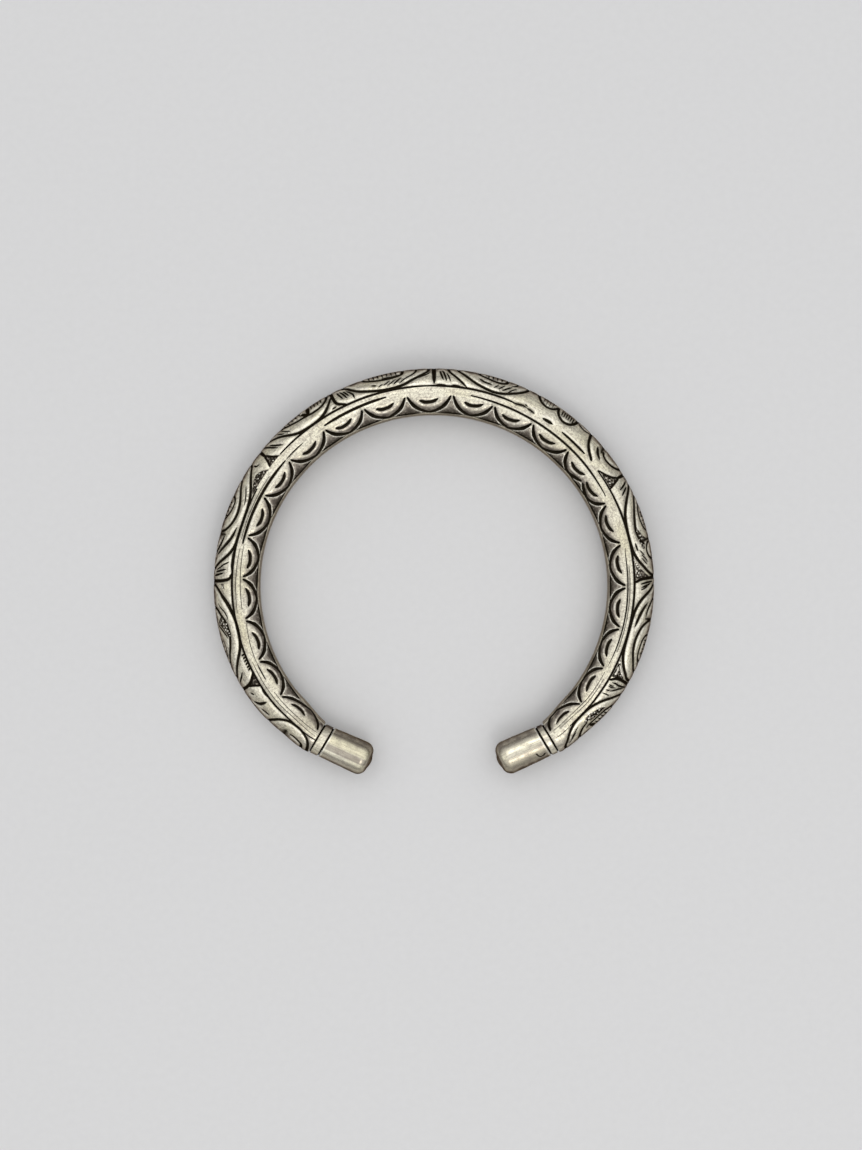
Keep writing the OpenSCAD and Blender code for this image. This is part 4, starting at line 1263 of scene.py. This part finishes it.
class Finish:
    """A material and the nodes that make it, added by short calls."""

    def __init__(self, name, metallic, roughness):
        self.material = bpy.data.materials.new(name)
        self.material.use_nodes = True
        self.tree = self.material.node_tree
        self.shader = self.tree.nodes["Principled BSDF"]
        self.shader.inputs["Metallic"].default_value = metallic
        self.shader.inputs["Roughness"].default_value = roughness
        self.place = self.tree.nodes.new("ShaderNodeTexCoord").outputs["Object"]

    def put(self, socket, value):
        """Links another node's output to a socket, or sets the socket to a plain value."""
        if isinstance(value, bpy.types.NodeSocket):
            self.tree.links.new(value, socket)
        else:
            socket.default_value = value

    def math(self, operation, a, b=0.0):
        made = self.tree.nodes.new("ShaderNodeMath")
        made.operation = operation
        self.put(made.inputs[0], a)
        self.put(made.inputs[1], b)
        return made.outputs[0]

    def times(self, a, b):
        return self.math("MULTIPLY", a, b)

    def plus(self, a, b):
        return self.math("ADD", a, b)

    def steps(self, value, low, high):
        """0 up to low, 1 from high, and smooth between them."""
        made = self.tree.nodes.new("ShaderNodeMapRange")
        made.interpolation_type = "SMOOTHSTEP"
        self.put(made.inputs["Value"], value)
        made.inputs["From Min"].default_value = low
        made.inputs["From Max"].default_value = high
        return made.outputs["Result"]

    def mark(self, name, output="Fac"):
        """One of the marks that the mesh carries."""
        made = self.tree.nodes.new("ShaderNodeAttribute")
        made.attribute_name = name
        return made.outputs[output]

    def scaled(self, vector, scale):
        """A vector times a number or, by axis, three numbers."""
        made = self.tree.nodes.new("ShaderNodeVectorMath")
        made.operation = "MULTIPLY"
        self.put(made.inputs[0], vector)
        made.inputs[1].default_value = scale if isinstance(scale, tuple) else (scale,) * 3
        return made.outputs[0]

    def noise(self, vector, rate, detail=2.0):
        """Noise with so many waves for one millimetre of the vector."""
        made = self.tree.nodes.new("ShaderNodeTexNoise")
        self.put(made.inputs["Vector"], self.scaled(vector, rate))
        made.inputs["Scale"].default_value = 1
        made.inputs["Detail"].default_value = detail
        return made.outputs["Fac"]

    def cells(self, vector, rate):
        """Distance from the middle of scattered cells, so many for one millimetre of the vector."""
        made = self.tree.nodes.new("ShaderNodeTexVoronoi")
        self.put(made.inputs["Vector"], self.scaled(vector, rate))
        made.inputs["Scale"].default_value = 1
        return made.outputs["Distance"]

    def mix(self, share, a, b):
        """Colour a where the share is 0, and colour b where it is 1."""
        made = self.tree.nodes.new("ShaderNodeMix")
        made.data_type = "RGBA"
        self.put(made.inputs[0], share)
        for socket, colour in zip((made.inputs[6], made.inputs[7]), (a, b)):
            self.put(socket, colour if isinstance(colour, bpy.types.NodeSocket) else (*colour, 1))
        return made.outputs[2]

    def bump(self, height, depth):
        """Bump from a height between 0 and 1, of a real depth in millimetres."""
        made = self.tree.nodes.new("ShaderNodeBump")
        made.inputs["Strength"].default_value = 1
        made.inputs["Distance"].default_value = depth * MM
        self.put(made.inputs["Height"], height)
        self.put(self.shader.inputs["Normal"], made.outputs["Normal"])

    def show(self, socket, value):
        self.put(self.shader.inputs[socket], value)


# Colours of the metal: rubbed bright and painted highlight, clean, warm with age, dull and painted shade,
# tarnished and deepest painted shade, sooty beside the cuts, between the pits of a ground, and the black in
# the cuts
BRIGHT_WEAR_AND_HIGHLIGHT = (0.96, 0.92, 0.80)
CLEAN = (0.90, 0.855, 0.68)
WARM = (0.76, 0.705, 0.48)
DULL_AND_SHADE = (0.25, 0.208, 0.178)
TARNISH_AND_SHADE = (0.062, 0.051, 0.043)
SOOT = (0.085, 0.074, 0.060)
NET = (0.30, 0.26, 0.21)
BLACK = (0.018, 0.014, 0.008)
# Tint of the metal at grazing angles, on the bar and on the plain ends
GRAZING = (0.40, 0.35, 0.315)
GRAZING_ENDS = (0.28, 0.24, 0.215)


def silver(name, dull, speckled, scratches, roughness, uneven, grazing):
    """Old silver: worn bright, and lit by painted highlights, where its marks say so, grey with painted shade
    where they say so, and sooty and black in its low ones.
    dull is how much of it has gone grey, speckled how strong its grey specks are, scratches how deep its
    scratches are in millimetres, uneven how patchy its dull places and its painted shade are, and grazing its
    tint at its rim."""
    f = Finish(name, 1.0, roughness)
    f.shader.inputs["Specular Tint"].default_value = (*grazing, 1)
    spot = f.scaled(f.place, 1 / MM)
    along = f.mark("place", "Vector")
    patina = f.noise(spot, 0.16, 3)
    cloud = f.noise(spot, 0.9, 5)
    grain = f.noise(spot, 6.0, 3)
    streak = f.noise(along, (0.30, 4.0, 4.0), 4)
    cross = f.noise(along, (6.0, 0.5, 0.5), 3)
    pits = f.cells(spot, 2.9)
    speck = f.noise(spot, 2.4, 3)
    nicks = f.times(f.steps(f.cells(spot, 1.7), 0.24, 0.10), f.steps(cloud, 0.45, 0.6))

    olive = f.times(f.mark("olive"), f.plus(0.5, f.times(streak, 0.8)))
    patchy = f.plus(1 - uneven, f.times(f.steps(cloud, 0.3, 0.65), uneven))
    shade = f.times(f.mark("shade"), patchy)
    ground = f.mark("ground")
    ink = f.steps(f.plus(f.mark("ink"), f.times(f.plus(grain, -0.5), 0.16)), 0.04, 0.22)
    # What lies over the clean metal, from the bottom up: how much of it, and its colour
    layers = (
        (f.math("MAXIMUM", f.times(f.steps(patina, 0.42, 0.72), 0.6), olive), WARM),
        (f.times(f.steps(f.plus(cloud, f.times(f.plus(grain, -0.5), 0.25)), 0.45, 0.8), dull), DULL_AND_SHADE),
        (f.times(f.steps(speck, 0.46, 0.62), 0.44 * speckled), DULL_AND_SHADE),
        (f.times(f.steps(grain, 0.50, 0.62), 0.42 * speckled), DULL_AND_SHADE),
        (f.times(f.steps(streak, 0.48, 0.66), 0.34), DULL_AND_SHADE),
        (f.times(nicks, 0.5), TARNISH_AND_SHADE),
        # Painted shade, darkest where the shade mark is strongest
        (shade, DULL_AND_SHADE),
        (f.times(f.steps(shade, 0.65, 1.0), 0.8), TARNISH_AND_SHADE),
        # Wear on the lips and dots, and painted highlights on rims that face up
        (f.times(f.mark("wear_and_highlight"), f.plus(0.6, f.times(speck, 0.4))), BRIGHT_WEAR_AND_HIGHLIGHT),
        (f.times(f.steps(f.mark("edge"), 0.07, 0.0), 0.4), SOOT),
        (f.times(ground, 0.9), NET),
        (f.times(ground, f.times(f.steps(pits, 0.80, 0.55), 0.95)), BLACK),
        (ink, BLACK),
    )
    colour = CLEAN
    for share, over in layers:
        colour = f.mix(share, colour, over)
    f.show("Base Color", colour)

    rough = f.plus(roughness, f.times(f.plus(cloud, -0.5), 0.25))
    rough = f.plus(rough, f.times(f.math("MAXIMUM", ink, ground), 0.3))
    f.show("Roughness", rough)

    fine = f.plus(f.times(streak, 0.9), f.times(cross, 0.4))
    fine = f.plus(fine, f.times(speck, 0.8))
    fine = f.plus(fine, f.times(grain, 0.35))
    fine = f.plus(fine, f.times(f.times(ground, f.steps(pits, 0.1, 0.5)), 3.0))
    f.bump(fine, scratches)
    return f.material


def floor_paper():
    """Plain pale paper with a faint fibre."""
    f = Finish("floor_paper", 0.0, 0.7)
    spot = f.scaled(f.place, 1 / MM)
    fibre = f.noise(spot, 0.8, 4)
    f.show("Base Color", f.mix(fibre, (0.63, 0.625, 0.615), (0.67, 0.665, 0.655)))
    f.bump(fibre, 0.02)
    return f.material


# Every finish reads the same marks. A piece that lacks one is far from any edge and has 0 of the others
MARKS = ("ink", "edge", "ground", "shade", "wear_and_highlight", "olive")
# Edges between faces that turn by more than this stay sharp, on the bar and on its ends
BAR_SHARP = 28
END_SHARP = 40


def lay_map(piece, places, fold):
    """Gives a piece its own map, so that its finish bakes at an even scale."""
    corners = np.zeros(len(piece.data.loops), np.int32)
    piece.data.loops.foreach_get("vertex_index", corners)
    layer = piece.data.uv_layers.new(name="OFBake")
    uv = np.zeros((len(corners), 2), np.float32)
    for polygon in piece.data.polygons:
        loops = slice(polygon.loop_start, polygon.loop_start + polygon.loop_total)
        uv[loops] = fold(places[corners[loops]])
    layer.uv.foreach_set("vector", uv.ravel())


def finish_piece(name, node, material, geometry, sharp_angle, fold=None):
    """Builds a piece, gives it its finish, lays its map if it has a fold, and puts it in its node's place."""
    points, polygons, marks, places = geometry
    marks = {mark: marks.get(mark, np.full(len(points), float(mark == "edge"))) for mark in MARKS}
    piece = new_piece(name, points, polygons, marks, places, sharp_angle)
    piece.data.materials.append(material)
    if fold is not None:
        lay_map(piece, places, fold)
    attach(piece, "root")
    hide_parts(node)


def soft_light(name, place, size, power, colour):
    """A square soft light at a place in millimetres from the kada, aimed at it."""
    light = bpy.data.lights.new(name, "AREA")
    light.size = size * MM
    light.energy = power
    light.color = colour
    lamp = bpy.data.objects.new(name, light)
    lamp.location = Vector(place) * MM
    lamp.rotation_euler = (-lamp.location).to_track_quat("-Z", "Y").to_euler()
    bpy.context.scene.collection.objects.link(lamp)


# The lens and its sensor's width, and where the camera stands off the hoop's middle
LENS = 68.6
SENSOR_W = 36
CAMERA_X = -0.53
CAMERA_Y = 2.01


def camera_above():
    """The photograph's view: straight down, from a little left of the hoop's middle and to its back."""
    data = bpy.data.cameras.new("camera")
    data.lens = LENS
    data.sensor_width = SENSOR_W
    data.clip_start = 0.01
    data.clip_end = 100
    camera = bpy.data.objects.new("camera", data)
    camera.location = Vector((CAMERA_X, HOOP_Y + CAMERA_Y, HOOP_Z + CAMERA_H)) * MM
    bpy.context.scene.collection.objects.link(camera)
    bpy.context.scene.camera = camera


# Half the floor's side, in metres, so that its edge lies at the horizon in a low view
FLOOR_REACH = 40


def pale_floor():
    """A plain square floor under the kada."""
    mesh = bpy.data.meshes.new("floor")
    corners = [(x * FLOOR_REACH, y * FLOOR_REACH, 0) for x, y in ((-1, -1), (1, -1), (1, 1), (-1, 1))]
    mesh.from_pydata(corners, [], [(0, 1, 2, 3)])
    mesh.materials.append(floor_paper())
    floor = bpy.data.objects.new("floor", mesh)
    bpy.context.scene.collection.objects.link(floor)


def sky():
    """Even studio light: brightest overhead, and dimmer towards the horizon."""
    world = bpy.data.worlds.new("studio")
    world.use_nodes = True
    nodes = world.node_tree.nodes
    links = world.node_tree.links
    place = nodes.new("ShaderNodeTexCoord")
    parts = nodes.new("ShaderNodeSeparateXYZ")
    ramp = nodes.new("ShaderNodeMapRange")
    for socket, value in (("From Min", 0), ("From Max", 0.66), ("To Min", 0.22), ("To Max", 1.08)):
        ramp.inputs[socket].default_value = value
    links.new(place.outputs["Generated"], parts.inputs[0])
    links.new(parts.outputs["Z"], ramp.inputs["Value"])
    links.new(ramp.outputs["Result"], nodes["Background"].inputs["Strength"])
    nodes["Background"].inputs["Color"].default_value = (0.96, 0.97, 1.0, 1)
    bpy.context.scene.world = world


# Soft lights: name, place and side in millimetres, power in watts, and colour
LIGHTS = (
    ("light_back", (-90, 300, 560), 200, 0.17, (1.0, 0.98, 0.93)),
    ("light_front", (110, -330, 540), 200, 0.36, (1.0, 0.97, 0.92)),
)


def studio():
    """Even light from all round, and two soft lights behind and in front of the kada."""
    sky()
    for light in LIGHTS:
        soft_light(*light)
    bpy.context.scene.view_settings.view_transform = "Standard"


camera_above()
pale_floor()
studio()

engraved_silver = silver("engraved_silver", dull=0.35, speckled=1, scratches=0.03, roughness=0.34,
                         uneven=0.3, grazing=GRAZING)
collar_silver = silver("collar_silver", dull=0.3, speckled=0.8, scratches=0.024, roughness=0.32,
                       uneven=0.25, grazing=GRAZING_ENDS)
cap_silver = silver("cap_silver", dull=0.4, speckled=0.35, scratches=0.012, roughness=0.28,
                    uneven=0.12, grazing=GRAZING_ENDS)

finish_piece("bar", "engraved_bar", engraved_silver, engraved_bar(), BAR_SHARP, fold_map)
for end, (side, band, length) in ENDS.items():
    finish_piece("collar_" + end + "_band", "collar_" + end, collar_silver,
                 collar(side, band), END_SHARP)
    finish_piece("cap_" + end, "end_cap_" + end, cap_silver,
                 end_cap(end, side, band, length), END_SHARP)
